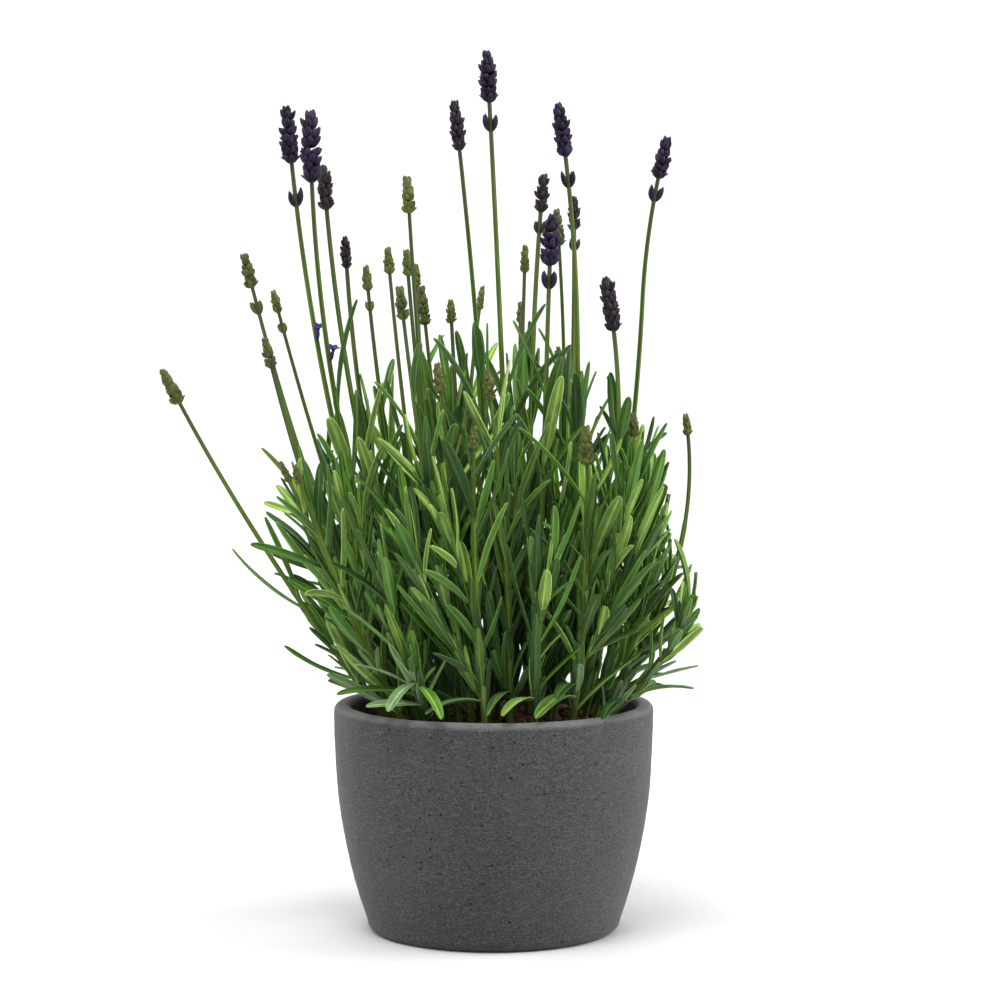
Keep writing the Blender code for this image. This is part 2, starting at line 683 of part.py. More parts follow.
def main():
    clear_scene()
    parts = new_collection("potted_lavender")
    helpers = new_collection("cutters", hidden=True)
    materials = {
        "pot": make_material("pot_stone", (0.085, 0.085, 0.09), 0.75),
        "soil": make_material("potting_soil", (0.045, 0.02, 0.012), 0.95),
        "stem": make_material("green_growth", (0.10, 0.20, 0.035), 0.55),
        "spike": make_material("purple_spike", (0.035, 0.02, 0.075), 0.65),
    }
    shoots, _ = layout()
    build_pot(parts, materials["pot"])
    soil = build_soil(parts, materials["soil"])
    build_sockets(shoots, soil, helpers)
    for shoot in shoots:
        build_shoot(shoot, parts, helpers, materials)
    hide_helpers(helpers)


main()
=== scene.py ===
"""Looks of the potted lavender: fine leaves, square striped stalks, whorled spikes, scaly buds, soil and pot.

The plan of every stem and leaf is the same one that the solids have, so each fine piece lies on its solid.
"""

import math
import random

import bpy
import numpy as np
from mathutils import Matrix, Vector, noise


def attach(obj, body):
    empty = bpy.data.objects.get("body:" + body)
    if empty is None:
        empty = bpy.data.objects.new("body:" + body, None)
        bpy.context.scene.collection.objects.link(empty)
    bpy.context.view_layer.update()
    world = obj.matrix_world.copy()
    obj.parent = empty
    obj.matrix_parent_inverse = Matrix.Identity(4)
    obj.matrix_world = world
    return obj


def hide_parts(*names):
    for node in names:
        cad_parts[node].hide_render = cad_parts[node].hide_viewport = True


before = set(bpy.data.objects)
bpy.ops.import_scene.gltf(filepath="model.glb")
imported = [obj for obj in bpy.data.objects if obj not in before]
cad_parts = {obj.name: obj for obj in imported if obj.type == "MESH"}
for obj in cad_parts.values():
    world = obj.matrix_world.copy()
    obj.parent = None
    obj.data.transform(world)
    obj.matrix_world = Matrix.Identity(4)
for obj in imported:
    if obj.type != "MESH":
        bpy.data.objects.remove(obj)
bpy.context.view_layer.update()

MM = 0.001

# ---- pot and soil ----
POT_HEIGHT = 100 * MM
POT_RADIUS = 70 * MM
POT_BASE_INSET = 16 * MM
POT_INSET_POWER = 2.4
POT_WALL = 7.5 * MM
POT_FLOOR = 10 * MM
POT_FOOT_ROUND = 5 * MM
POT_LIP_ROUND = 3 * MM
SOIL_EDGE = 90 * MM
SOIL_DOME = 3 * MM

# ---- plant ----
# How far from the stem's middle line a leaf starts.
LEAF_START = 0.3 * MM
# A leaf may meet its own shoot this close to the stem, and this close to the leaf's base.
NEAR_STEM = 3.6 * MM
NEAR_BASE = 7.5 * MM

# ---- outline of the bush: how far and how high its leaves reach ----
BUSH_HALF = 75 * MM
BUSH_TOP = 272 * MM
BUSH_FALL = 48 * MM
RIGHT_BULGE = 16 * MM
RIGHT_BULGE_HEIGHT = 135 * MM
LEFT_BULGE = 34 * MM
LEFT_BULGE_HEIGHT = 180 * MM
BULGE_SPAN = 35 * MM
NOD_FROM = 0.72
WHORL_LENGTH = 8 * MM
# How far apart the points are that stand for a stem or a leaf in the thicket.
POINT_STEP = 1.5 * MM
PLANT_SEED = 7

# Flowering stalks whose spike has coloured up, in millimetres. Name, base (x, y), tip (x, y, z), sideways
# bow at mid-height, head (length, radius), the gap down to a lower whorl if there is one, and how far the
# top of the stalk nods to the right.
COLOURED = [
    ("01", (-34, 4), (-90, 5, 360), -9, (25, 4.4), 11, 0),
    ("02", (-31, -10), (-79, -8, 357), -12, (31, 5.2), None, 0),
    ("03", (-27, 16), (-75, 20, 335), -8, (20, 3.8), None, 0),
    ("04", (-28, 28), (-66, 30, 304), -7, (14.5, 2.7), None, 0),
    ("05", (2, -9), (-17, -10, 362), 3, (21.5, 3.4), None, 0),
    ("06", (9, 2), (-3, 5, 384), 1, (22, 4.2), 4.4, 0),
    ("07", (15, 12), (21, 16, 331), -2, (16.6, 3.2), 1, 1),
    ("08", (17, -19), (24, -22, 313), 1, (22, 4.6), 1.5, 1),
    ("09", (24, 0), (29, 0, 361), 10, (23, 4.0), 5, -1),
    ("10", (27, 37), (36, 52, 322), 3, (15, 3.0), 1, 0),
    ("11", (34, -22), (49, -25, 286), 11, (23, 3.9), None, -1),
    ("12", (40, 8), (66, 10, 347), 8, (18, 3.8), 2, 10),
]

# Stalks that end in a bud that is still green, given the same way but without a nod. A fork is a side
# stalk: how far up it leaves the main one, its tip and its bud.
GREEN = [
    ("13", (-46, -4), (-143, -12, 246), -5, (17, 3.5), None, None),
    ("14", (-41, 5), (-108, -5, 296), -5, (15, 3.3), 4, None),
    ("15", (-37, 14), (-97, 15, 280), -3, (10, 2.4), 1, None),
    ("16", (-40, -19), (-98, -22, 260), -5, (13.5, 2.9), None, None),
    ("17", (-23, 7), (-56, 12, 291), -4, (11, 2.5), 0.5, None),
    ("18", (-20, -5), (-46, -5, 299), -2, (11.5, 2.6), None, None),
    ("19", (-16, -15), (-37, -18, 329), -2, (15.5, 3.4), None, None),
    ("20", (-15, 27), (-39, 35, 298), -2, (11.5, 2.6), None, (0.3, (-35, 48, 292), (9.6, 2.2))),
    ("21", (-14, -25), (-40, -28, 282), -1, (14, 3.2), None, None),
    ("22", (-9, 18), (-32, 25, 282), -1, (17, 2.8), None, None),
    ("23", (-6, 8), (-19, 14, 276), -1, (9.8, 2.5), None, (0.3, (-5, 40, 282), (10, 1.9))),
    ("24", (8, 23), (14, 28, 300), 0, (12, 2.3), None, (0.3, (12, 50, 275), (9, 2.0))),
    ("25", (25, 25), (28, 36, 316), 5, (16, 3.2), None, None),
    ("26", (18, 40), (29, 42, 255), 1, (6.8, 1.7), None, None),
    ("27", (45, 3), (84, 5, 226), 15, (9.4, 2.3), None, None),
]

# Leafy shoots: name, base, tip, bow, bud if there is one, and a fork like those of the green stalks.
LEAFY = [
    ("01", (33, -35), (39, -48, 224), 3, (17, 3.4), (0.25, (46, -42, 190), None)),
    ("02", (43, -12), (60, -20, 228), 6, (10.5, 2.6), (0.25, (66, -6, 196), None)),
    ("03", (7, -31), (-3, -38, 247), 3, (13, 2.9), (0.2, (10, -28, 205), None)),
    ("04", (-9, -34), (-24, -34, 250), 1, (13, 2.7), (0.25, (-32, -46, 205), None)),
    ("05", (-2, -20), (-9, -18, 234), 1, (10, 2.8), (0.25, (4, -14, 215), None)),
    ("06", (-3, -45), (-8, -50, 224), -2, (10, 2.4), (0.2, (-20, -58, 180), None)),
    ("07", (46, -20), (70, -20, 176), 4, (8.5, 2.6), (0.3, (58, -36, 168), None)),
    ("08", (17, -43), (17, -56, 174), 1, (7.5, 2.2), (0.3, (27, -62, 175), (7.5, 2.3))),
    ("09", (-36, -30), (-84, -46, 207), -3, (8.7, 2.1), (0.35, (-91, -34, 208), (8.7, 1.9))),
    ("10", (-45, 12), (-84, 10, 188), -5, None, (0.3, (-76, 30, 190), None)),
    ("11", (-26, -34), (-34, -56, 120), 0, None, (0.35, (-52, -44, 150), None)),
    ("12", (41, -30), (87, -26, 160), 11, None, (0.35, (80, -44, 140), None)),
    ("13", (42, 18), (78, 26, 190), 4, None, (0.3, (64, 42, 200), None)),
    ("14", (36, 29), (52, 52, 195), 2, None, (0.3, (42, 64, 175), None)),
    ("15", (8, 41), (2, 62, 205), 0, None, (0.3, (18, 66, 190), None)),
    ("16", (-24, 39), (-46, 60, 205), -2, None, (0.3, (-26, 66, 190), None)),
    ("17", (-11, -3), (-18, -2, 225), 0, None, (0.25, (-30, 4, 205), None)),
    ("18", (26, -12), (36, -10, 222), 2, None, (0.25, (24, -28, 200), None)),
    ("19", (-40, 24), (-66, 44, 180), -2, None, (0.3, (-84, 34, 160), None)),
]

# Low leaves that droop over the soil and the rim. Shoot, how far along its stem in millimetres, heading in
# degrees from +X, length, width, and the lean from upright in degrees at the leaf's base and at its tip.
DROOPING = [
    ("03", 16, 222, 36, 5.8, (75, 122)),
    ("08", 16, 228, 31, 6.0, (72, 120)),
    ("01", 16, 226, 37, 6.0, (75, 120)),
    ("01", 21, 252, 31, 5.4, (70, 116)),
    ("06", 15, 214, 30, 5.6, (72, 120)),
    ("12", 17, 224, 34, 5.4, (75, 118)),
    ("11", 26, 318, 32, 5.8, (84, 132)),
    ("11", 29, 290, 28, 5.6, (90, 138)),
    ("11", 31, 258, 24, 5.2, (92, 138)),
    ("11", 23, 190, 36, 5.2, (72, 104)),
    ("11", 20, 345, 30, 5.4, (68, 100)),
    ("12", 19, 342, 34, 4.8, (62, 96)),
    ("02", 14, 318, 30, 4.8, (60, 106)),
]

# Single long leaves at the edge of the bush. Shoot, share of the way up its stem, the side that the leaf
# grows to (-1 left, 1 right), its lean from the stem, how much that changes to its tip, length and width.
SINGLE = [
    ("stalk_13", 0.33, -1, 0.5, -0.45, 41, 5.0),
    ("stalk_13", 0.335, 1, 0.3, -0.2, 39, 6.6),
    ("stalk_13", 0.13, -1, 0.75, -0.5, 34, 5.0),
    ("stalk_12", 0.36, 1, 0.3, -0.25, 44, 5.4),
    ("stalk_12", 0.44, -1, 0.25, 0.2, 40, 5.2),
    ("stalk_27", 0.3, 1, 0.35, -0.5, 34, 4.8),
    ("stalk_14", 0.42, -1, 0.25, 0.2, 42, 5.0),
    ("stalk_15", 0.5, 1, 0.2, -0.2, 46, 6.4),
    ("stalk_02", 0.52, 1, 0.18, 0.35, 48, 6.4),
    ("stalk_04", 0.5, 1, 0.2, -0.3, 46, 5.6),
    ("stalk_06", 0.48, 1, 0.3, 0.3, 46, 5.6),
    ("stalk_05", 0.44, -1, 0.25, 0.4, 44, 5.6),
]


# ======== layout: the curve of every stem and leaf ========


def soil_height(x, y):
    reach = POT_RADIUS - POT_WALL
    return SOIL_EDGE + SOIL_DOME * max(0.0, 1 - (x * x + y * y) / (reach * reach))


class Stem:
    """A stem's middle line: a quadratic curve, straight where it is in the soil. Its top part also bends
    sideways, by `nod` at its tip."""

    def __init__(self, base, control, tip, nod=0.0):
        self.base, self.control, self.tip, self.nod = base, control, tip, nod
        steps = [self.at(i / 20) for i in range(21)]
        self.length = sum((b - a).length for a, b in zip(steps, steps[1:]))

    def at(self, t):
        if t < 0:
            return self.base + self.heading(0) * (t * self.length)
        curve = (1 - t) ** 2 * self.base + 2 * t * (1 - t) * self.control + t * t * self.tip
        return curve + Vector((self.nod * self.in_nod(t) ** 2, 0, 0))

    def in_nod(self, t):
        return max(0.0, (t - NOD_FROM) / (1 - NOD_FROM))

    def heading(self, t):
        t = max(t, 0.0)
        along = (1 - t) * (self.control - self.base) + t * (self.tip - self.control)
        return (along + Vector((self.nod * self.in_nod(t) / (1 - NOD_FROM), 0, 0))).normalized()


def stem_between(base, tip, bow, nod):
    middle = (base + tip) / 2
    return Stem(base, middle + Vector((2 * bow, 0, 0)), tip, nod)


class Leaf:
    """A leaf's middle line: an arc that leaves the stem at an angle and opens out or curls back up."""

    def __init__(self, start, stem_heading, outward, spread, curl, length, width):
        self.start, self.along, self.outward = start, stem_heading, outward
        self.spread, self.curl, self.length, self.width = spread, curl, length, width
        self.side = stem_heading.cross(outward).normalized()

    def at(self, s):
        a, b = self.spread, self.spread + self.curl * s
        reach = self.length / self.curl
        up, out = reach * (math.sin(b) - math.sin(a)), reach * (math.cos(a) - math.cos(b))
        return self.start + self.along * up + self.outward * out

    def heading(self, s):
        angle = self.spread + self.curl * s
        return self.along * math.cos(angle) + self.outward * math.sin(angle)

    def face(self, s):
        """The way that the leaf's upper face looks."""
        return self.heading(s).cross(self.side)

    def half_width(self, s):
        return self.width / 2 * np.sin(math.pi * (0.07 + 0.83 * s**1.25))


class Thicket:
    """Which shoot holds each small cube of the space over the pot, so that none grows through another."""

    CELL = 2 * MM
    LOW = np.array((-200, -140, 60)) * MM
    SIZE = (180, 140, 180)
    AROUND = [(i, j, k) for i in (-1, 0, 1) for j in (-1, 0, 1) for k in (-1, 0, 1)]

    def __init__(self):
        self.owner = np.zeros(self.SIZE, int)

    def cells(self, points):
        return np.floor((np.array(points).reshape(-1, 3) - self.LOW) / self.CELL).astype(int)

    def free(self, points, owner):
        """True if the cubes at these points are empty, or held by the owner itself."""
        found = self.owner[tuple(self.cells(points).T)]
        return not ((found != 0) & (found != owner)).any()

    def settle(self, leaf, shoot):
        """Adds the leaf to its shoot if there is room for it, and says whether there was. A leaf may touch
        the stem that it grows on, but only near its base, and no other leaf."""
        near, far = leaf_points(leaf)
        if not (self.free(near, shoot.number) and self.free(far, 0)):
            return False
        self.take(near, shoot.number)
        self.take(far, -shoot.number)
        shoot.leaves.append(leaf)
        return True

    def take(self, points, owner):
        cells = self.cells(points)
        for shift in self.AROUND:
            self.owner[tuple((cells + shift).T)] = owner


def stem_points(stem, first=0.0, last=1.0):
    count = int(stem.length * (last - first) / POINT_STEP) + 2
    return [stem.at(first + (last - first) * i / (count - 1)) for i in range(count)]


def leaf_points(leaf):
    """Points all over a leaf, in two lists: those close to its stem and the rest."""
    s = np.linspace(0.06, 1, int(leaf.length / POINT_STEP) + 2)
    angle = leaf.spread + leaf.curl * s
    reach = leaf.length / leaf.curl
    up = reach * (np.sin(angle) - math.sin(leaf.spread))
    out = reach * (math.cos(leaf.spread) - np.cos(angle))
    half = leaf.half_width(s)[:, None] * np.array((-1, -0.5, 0, 0.5, 1))
    middle = np.array(leaf.start) + np.outer(up, leaf.along) + np.outer(out, leaf.outward)
    points = middle[:, None] + half[..., None] * np.array(leaf.side)
    near = (out < NEAR_STEM) | (s * leaf.length < NEAR_BASE)
    return points[near].reshape(-1, 3), points[~near].reshape(-1, 3)


def bush_top(x):
    return BUSH_TOP - BUSH_FALL * np.abs(x / BUSH_HALF) ** 1.6


def has_space(leaf):
    """True if the leaf stays above the soil and the rim, and inside the outline of the bush."""
    x, y, z = np.concatenate(leaf_points(leaf)).T
    from_axis = np.hypot(x, y)
    low = SOIL_EDGE + SOIL_DOME * np.clip(1 - (from_axis / (POT_RADIUS - POT_WALL)) ** 2, 0, 1) + 1.2 * MM
    over_rim = (from_axis > POT_RADIUS - POT_WALL - 2 * MM) & (from_axis < POT_RADIUS + 3 * MM)
    low = np.where(over_rim, POT_HEIGHT + 1.2 * MM, low)
    low = np.where(from_axis >= POT_RADIUS + 3 * MM, POT_HEIGHT - 4 * MM, low)
    right = BUSH_HALF + RIGHT_BULGE * np.exp(-(((z - RIGHT_BULGE_HEIGHT) / BULGE_SPAN) ** 2))
    left = BUSH_HALF + LEFT_BULGE * np.exp(-(((z - LEFT_BULGE_HEIGHT) / BULGE_SPAN) ** 2))
    inside = (z > low) & (x < right) & (x > -left) & (z < bush_top(x)) & (np.abs(y) < BUSH_HALF)
    return bool(inside.all())


class Shoot:
    """A stalk or a leafy shoot: its stems, the heads on them, and its leaves."""

    def __init__(self, name, number):
        self.name, self.number = name, number
        self.twist = 1.1 * number
        self.axes, self.leaves = [], []

    def add_axis(self, stem, head, gap, kind):
        """head is (length, radius) or None. The axis ends in it, and a lower whorl sits a gap below it."""
        neck = 1.0
        if head:
            below = head[0] + (gap + WHORL_LENGTH if gap is not None else 0)
            neck = 1 - below / stem.length
        self.axes.append({"stem": stem, "head": head, "gap": gap, "neck": neck, "kind": kind})


def across(heading, turn):
    """Two directions square to a stem and to each other, turned round it."""
    first = heading.cross(Vector((0, 1, 0))).normalized()
    second = heading.cross(first)
    return (
        first * math.cos(turn) + second * math.sin(turn),
        second * math.cos(turn) - first * math.sin(turn),
    )


def try_leaf(shoot, stem, t, turn, plan, rng, thicket):
    """Grows one leaf at t on the stem, turned by `turn` round it, if there is room for it."""
    heading = stem.heading(t)
    for attempt in range(16):
        outward = across(heading, turn + rng.uniform(-0.12, 0.12) * (1 + attempt * 0.1))[0]
        spread = rng.uniform(*plan["spread"])
        curl = rng.choice((-0.7 * spread, 0.2, 0.5)) * rng.uniform(0.5, 1)
        length = rng.uniform(*plan["length"]) * (1 - 0.03 * attempt)
        width = rng.uniform(*plan["width"])
        leaf = Leaf(stem.at(t) + outward * LEAF_START, heading, outward, spread, curl, length, width)
        if has_space(leaf) and thicket.settle(leaf, shoot):
            return


def leaf_plan(length, width, spread, spacing=0, last=0, first=0):
    """How leaves grow along a stem: lengths in millimetres, and spread from the stem in radians."""
    return {
        "first": first * MM, "last": last * MM, "spacing": spacing * MM, "spread": spread,
        "length": [v * MM for v in length], "width": [v * MM for v in width],
    }


STALK_LEAVES = leaf_plan((38, 58), (4, 6.2), (0.17, 0.44), spacing=32, last=132, first=18)
SHOOT_LEAVES = leaf_plan((30, 48), (4, 6.2), (0.26, 0.68), spacing=25, last=112, first=10)


def grow_leaves(shoot, plan, rng, thicket):
    """Opposite pairs of leaves on the flats of the square stem, each pair crosswise to the one below."""
    for axis in shoot.axes:
        stem = axis["stem"]
        last = min(plan["last"], stem.length * axis["neck"] - 6 * MM)
        along, turn = plan["first"] * rng.uniform(0.8, 1.3), shoot.twist + math.pi / 4
        while along < last:
            for side in (0, math.pi):
                try_leaf(shoot, stem, along / stem.length, turn + side, plan, rng, thicket)
            turn += math.pi / 2
            along += plan["spacing"] * rng.uniform(0.8, 1.25)


def droop(shoot, along, heading, length, width, lean):
    """A low leaf that arches over, from a distance along the stem."""
    stem = shoot.axes[0]["stem"]
    angle = math.radians(heading)
    outward = Vector((math.cos(angle), math.sin(angle), 0))
    first, last = math.radians(lean[0]), math.radians(lean[1])
    start = stem.at(along * MM / stem.length) + outward * LEAF_START
    return Leaf(start, Vector((0, 0, 1)), outward, first, last - first, length * MM, width * MM)


def single(shoot, t, side, lean, change, length, width):
    """A leaf in the plane that runs from left to right through the stem."""
    stem = shoot.axes[0]["stem"]
    heading = stem.heading(t)
    outward = heading.cross(Vector((0, -1, 0))).normalized() * side
    return Leaf(stem.at(t) + outward * LEAF_START, heading, outward, lean, change, length * MM, width * MM)


# Turns in degrees, and shifts along the stem, that are tried in order until a leaf has room.
SWINGS = (0, 5, -5, 10, -10, 15, -15, 20, -20, 26, -26, 32, -32)
SHIFTS = (0, 0.01, -0.01, 0.02, -0.02, 0.04, -0.04, 0.07, -0.07)


def layout():
    """Every shoot with its stems, heads and leaves, in a fixed order."""
    rng, thicket, shoots = random.Random(PLANT_SEED), Thicket(), []

    def point(x, y, z):
        return Vector((x, y, z)) * MM

    def rooted(x, y):
        return point(x, y, soil_height(x * MM, y * MM) / MM)

    def scaled(head):
        return (head[0] * MM, head[1] * MM) if head else None

    def start(name, base, tip, bow, head, gap, kind, fork, nod=0):
        shoot = Shoot(name, len(shoots) + 1)
        main = stem_between(rooted(*base), point(*tip), bow * MM, nod * MM)
        shoot.add_axis(main, scaled(head), gap * MM if gap is not None else None, kind)
        if fork:
            share, fork_tip, fork_head = fork
            root = main.at(share)
            control = root + main.heading(share) * (0.45 * (point(*fork_tip) - root).length)
            shoot.add_axis(Stem(root, control, point(*fork_tip)), scaled(fork_head), None, "green")
        shoots.append(shoot)

    for name, base, tip, bow, head, gap, nod in COLOURED:
        start("stalk_" + name, base, tip, bow, head, gap, "coloured", None, nod)
    for name, base, tip, bow, head, gap, fork in GREEN:
        start("stalk_" + name, base, tip, bow, head, gap, "green", fork)
    for name, base, tip, bow, head, fork in LEAFY:
        start("leafy_shoot_" + name, base, tip, bow, head, None, "green", fork)

    for shoot in shoots:
        for axis in shoot.axes:
            thicket.take(stem_points(axis["stem"]), shoot.number)
            if axis["head"]:
                radius = axis["head"][1]
                sideways = [Vector(way) * radius for way in ((1, 0, 0), (-1, 0, 0), (0, 1, 0), (0, -1, 0))]
                inside = stem_points(axis["stem"], axis["neck"], 1.0)
                thicket.take([p + way for p in inside for way in sideways], shoot.number)
    by_name = {shoot.name: shoot for shoot in shoots}
    for name, t, *shape in SINGLE:
        shoot = by_name[name]
        for shift in SHIFTS:
            leaf = single(shoot, t + shift, *shape)
            if thicket.settle(leaf, shoot):
                break
    for name, along, heading, length, width, lean in DROOPING:
        shoot = by_name["leafy_shoot_" + name]
        for swing in SWINGS:
            leaf = droop(shoot, along, heading + swing, length, width, lean)
            if has_space(leaf) and thicket.settle(leaf, shoot):
                break
    for shoot in sorted(shoots, key=lambda s: s.name.startswith("stalk")):
        plan = STALK_LEAVES if shoot.name.startswith("stalk") else SHOOT_LEAVES
        grow_leaves(shoot, plan, rng, thicket)
    return shoots, thicket


# ======== pieces ========


def add_object(name, data):
    obj = bpy.data.objects.new(name, data)
    bpy.context.scene.collection.objects.link(obj)
    return obj


def smooth_mesh(name, points, faces, material):
    mesh = bpy.data.meshes.new(name)
    mesh.from_pydata(points, [], faces)
    mesh.shade_smooth()
    mesh.materials.append(material)
    return mesh


def add_piece(name, points, faces, material, replaces=()):
    """Makes a piece of the object. It stands for the nodes in `replaces`."""
    obj = add_object(name, smooth_mesh(name, points, faces, material))
    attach(obj, "root")
    if replaces:
        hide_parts(*replaces)
    return obj


def round_angles(count):
    return np.arange(count) * 2 * math.pi / count


def ring_quads(at, turned=False):
    """Faces between rows of point numbers, each row a ring. turned makes them look the other way."""
    low, high = at[:-1], at[1:]
    low_next, high_next = np.roll(low, -1, 1), np.roll(high, -1, 1)
    corners = (low, high, high_next, low_next) if turned else (low, low_next, high_next, high)
    return np.stack(corners, -1).reshape(-1, 4).tolist()


def fan(centre, ring, turned=False):
    """Faces from a point to a ring of points."""
    pairs = zip(ring.tolist(), np.roll(ring, -1).tolist())
    return [(centre, b, a) if turned else (centre, a, b) for a, b in pairs]


class Skin:
    """Collects closed tubes into one mesh. Every point carries three vectors that the materials read:
    grain (across and along in millimetres, and a random offset), tone (three random or age numbers) and
    place (across from -1 to 1, along from 0 to 1, and 1 on an upper side)."""

    NAMES = ("grain", "tone", "place")
    OFFSET = 60

    def __init__(self):
        self.points, self.faces, self.count = [], [], 0
        self.values = {name: [] for name in self.NAMES}

    def tube(self, rings, start, end, tone, grain=(0, 0), place=(0, 0, 0), turned=False):
        """rings is rows of points round the tube; start and end are the points that close it. grain is
        across and along in metres. turned is for rows that run the other way round."""
        rows, sides, _ = rings.shape
        points = np.concatenate([(rings[:, ::-1] if turned else rings).reshape(-1, 3), [start, end]])
        self.points.append(points)
        self.values["tone"].append(np.broadcast_to(np.array(tone), points.shape))
        offset = self.OFFSET * tone[0] if any(np.any(part) for part in grain) else 0
        for name, parts in (("grain", (grain[0] * 1000, grain[1] * 1000, offset)), ("place", place)):
            grid = np.stack([np.broadcast_to(np.array(part, float), (rows, sides)) for part in parts], -1)
            grid = grid[:, ::-1] if turned else grid
            ends = [grid[0].mean(0), grid[-1].mean(0)]
            self.values[name].append(np.concatenate([grid.reshape(-1, 3), ends]))
        at = self.count + np.arange(rows * sides).reshape(rows, sides)
        self.count += len(points)
        self.faces += ring_quads(at)
        self.faces += fan(self.count - 2, at[0], turned=True) + fan(self.count - 1, at[-1])

    def piece(self, name, material, slot, replaces=()):
        points = np.concatenate(self.points).tolist()
        obj = add_piece(name, points, self.faces, material, replaces)
        for key in self.NAMES:
            made = obj.data.attributes.new(key, "FLOAT_VECTOR", "POINT")
            made.data.foreach_set("vector", np.concatenate(self.values[key]).astype(np.float32).ravel())


def rows_of(points):
    return np.array([tuple(p) for p in points])


def cross_rings(middles, sides, fronts, across, up):
    """Rings of points: each ring's middle plus its own pattern of (across, up) offsets."""
    return middles[:, None] + sides[:, None] * across[..., None] + fronts[:, None] * up[..., None]


# ======== skins: leaves, stems, calyces and bracts ========

LEAF_STEPS = np.array([0, 0.05, 0.12, 0.2, 0.3, 0.4, 0.5, 0.6, 0.7, 0.79, 0.86, 0.92, 0.96, 0.985])
LEAF_UPPER = np.array([-1, -0.86, -0.55, -0.2, 0, 0.2, 0.55, 0.86, 1])
LEAF_LOWER = LEAF_UPPER[-2:0:-1]
BLADE_HALF_THICKNESS = 0.25 * MM
BLADE_THICKER_AT_BASE = 0.22 * MM
# Depth, and width as a share of half the leaf, of the groove above the midrib and of the ridge below it.
GROOVE = (0.22 * MM, 0.13)
RIDGE = (0.2 * MM, 0.16)
# Where a blade's base closes, just before its first ring.
BLADE_ROOT = -0.01


def strap(s):
    """Half width of a strap-shaped leaf with a blunt tip, as a share of its widest."""
    rise = np.clip(s / 0.45, 0, 1)
    narrowing = 1 - 0.2 * np.clip((s - 0.5) / 0.5, 0, 1) ** 1.5
    return (0.36 + 0.64 * rise * rise * (3 - 2 * rise)) * narrowing * np.sqrt(np.clip(1 - s**9, 0, 1))


def spine(leaf, steps):
    """Points along a leaf's middle line, and its sideways and upward directions there."""
    middles = rows_of([leaf.at(s) for s in steps.tolist()])
    sides = np.tile(np.array(leaf.side), (len(steps), 1))
    return middles, sides, rows_of([leaf.face(s) for s in steps.tolist()])


def skin_leaf(skin, leaf, tone, twist, channel, wave):
    """A blade with a grooved midrib above, a ridge below and slightly thickened, rolled margins."""
    s = LEAF_STEPS
    middles, sides, faces = spine(leaf, s)
    turn = (twist * s**1.3)[:, None]
    sides, faces = (
        sides * np.cos(turn) + faces * np.sin(turn),
        faces * np.cos(turn) - sides * np.sin(turn),
    )
    half = (leaf.width / 2 * strap(s))[:, None]
    thick = (BLADE_HALF_THICKNESS + BLADE_THICKER_AT_BASE * (1 - s))[:, None]

    def surface(u, side, midrib):
        dish = channel * half * (np.abs(u) ** 1.4 - 0.35)
        ripple = wave * half * np.sin(9 * s + 3)[:, None] * u
        depth, width = midrib
        return dish + ripple + side * thick * np.sqrt(1 - u**6) - depth * np.exp(-((u / width) ** 2))

    up = np.concatenate([surface(LEAF_UPPER[None], 1, GROOVE), surface(LEAF_LOWER[None], -1, RIDGE)], 1)
    u = np.concatenate([LEAF_UPPER, LEAF_LOWER])
    on_top = np.repeat((1.0, 0.0), (len(LEAF_UPPER), len(LEAF_LOWER)))
    rings = cross_rings(middles, sides, faces, half * u, up)
    tip = np.array(leaf.at(1.0)) + faces[-1] * up[-1].mean()
    # The pattern runs from left to right over the top, which turns the tube's faces inwards unless reversed.
    skin.tube(rings, leaf.at(BLADE_ROOT), tip, tone, (half * u, s[:, None] * leaf.length),
              (u, s[:, None], on_top), turned=True)


STEM_SIDES = 16
STEM_STEP = 3.5 * MM
STEM_GRAIN = 1.2 * MM
SWELL_HALF_LENGTH = 1.6 * MM


def skin_stem(skin, stem, first, last, thick, thin, turn, nodes, tone):
    """A square stem with rounded corners, hollowed flats and a slight swelling at each pair of leaves."""
    count = max(8, int(stem.length * (last - first) / STEM_STEP))
    ts = first + (last - first) * np.linspace(0, 1, count)
    middles = rows_of([stem.at(t) for t in ts.tolist()])
    frames = [across(stem.heading(t), turn) for t in ts.tolist()]
    sides, fronts = rows_of([f[0] for f in frames]), rows_of([f[1] for f in frames])
    angles = round_angles(STEM_SIDES)
    corner = np.abs(np.cos(2 * angles))
    square = 0.86 + 0.14 * corner**0.8
    along = ts * stem.length
    swell = 1 + sum((0.2 * np.exp(-(((along - n) / SWELL_HALF_LENGTH) ** 2)) for n in nodes), 0 * along)
    radius = np.array([thick + (thin - thick) * max(t, 0.0) ** 0.8 for t in ts]) * swell
    x = np.cos(angles)[None] * square[None] * radius[:, None]
    y = np.sin(angles)[None] * square[None] * radius[:, None]
    rings = cross_rings(middles, sides, fronts, x, y)
    skin.tube(rings, middles[0], middles[-1], tone, (angles * STEM_GRAIN, along[:, None]),
              (corner, ts[:, None], 1))


CALYX_STEPS = np.array([0, 0.1, 0.25, 0.42, 0.58, 0.72, 0.84, 0.93, 0.98])
CALYX_SIDES = 14


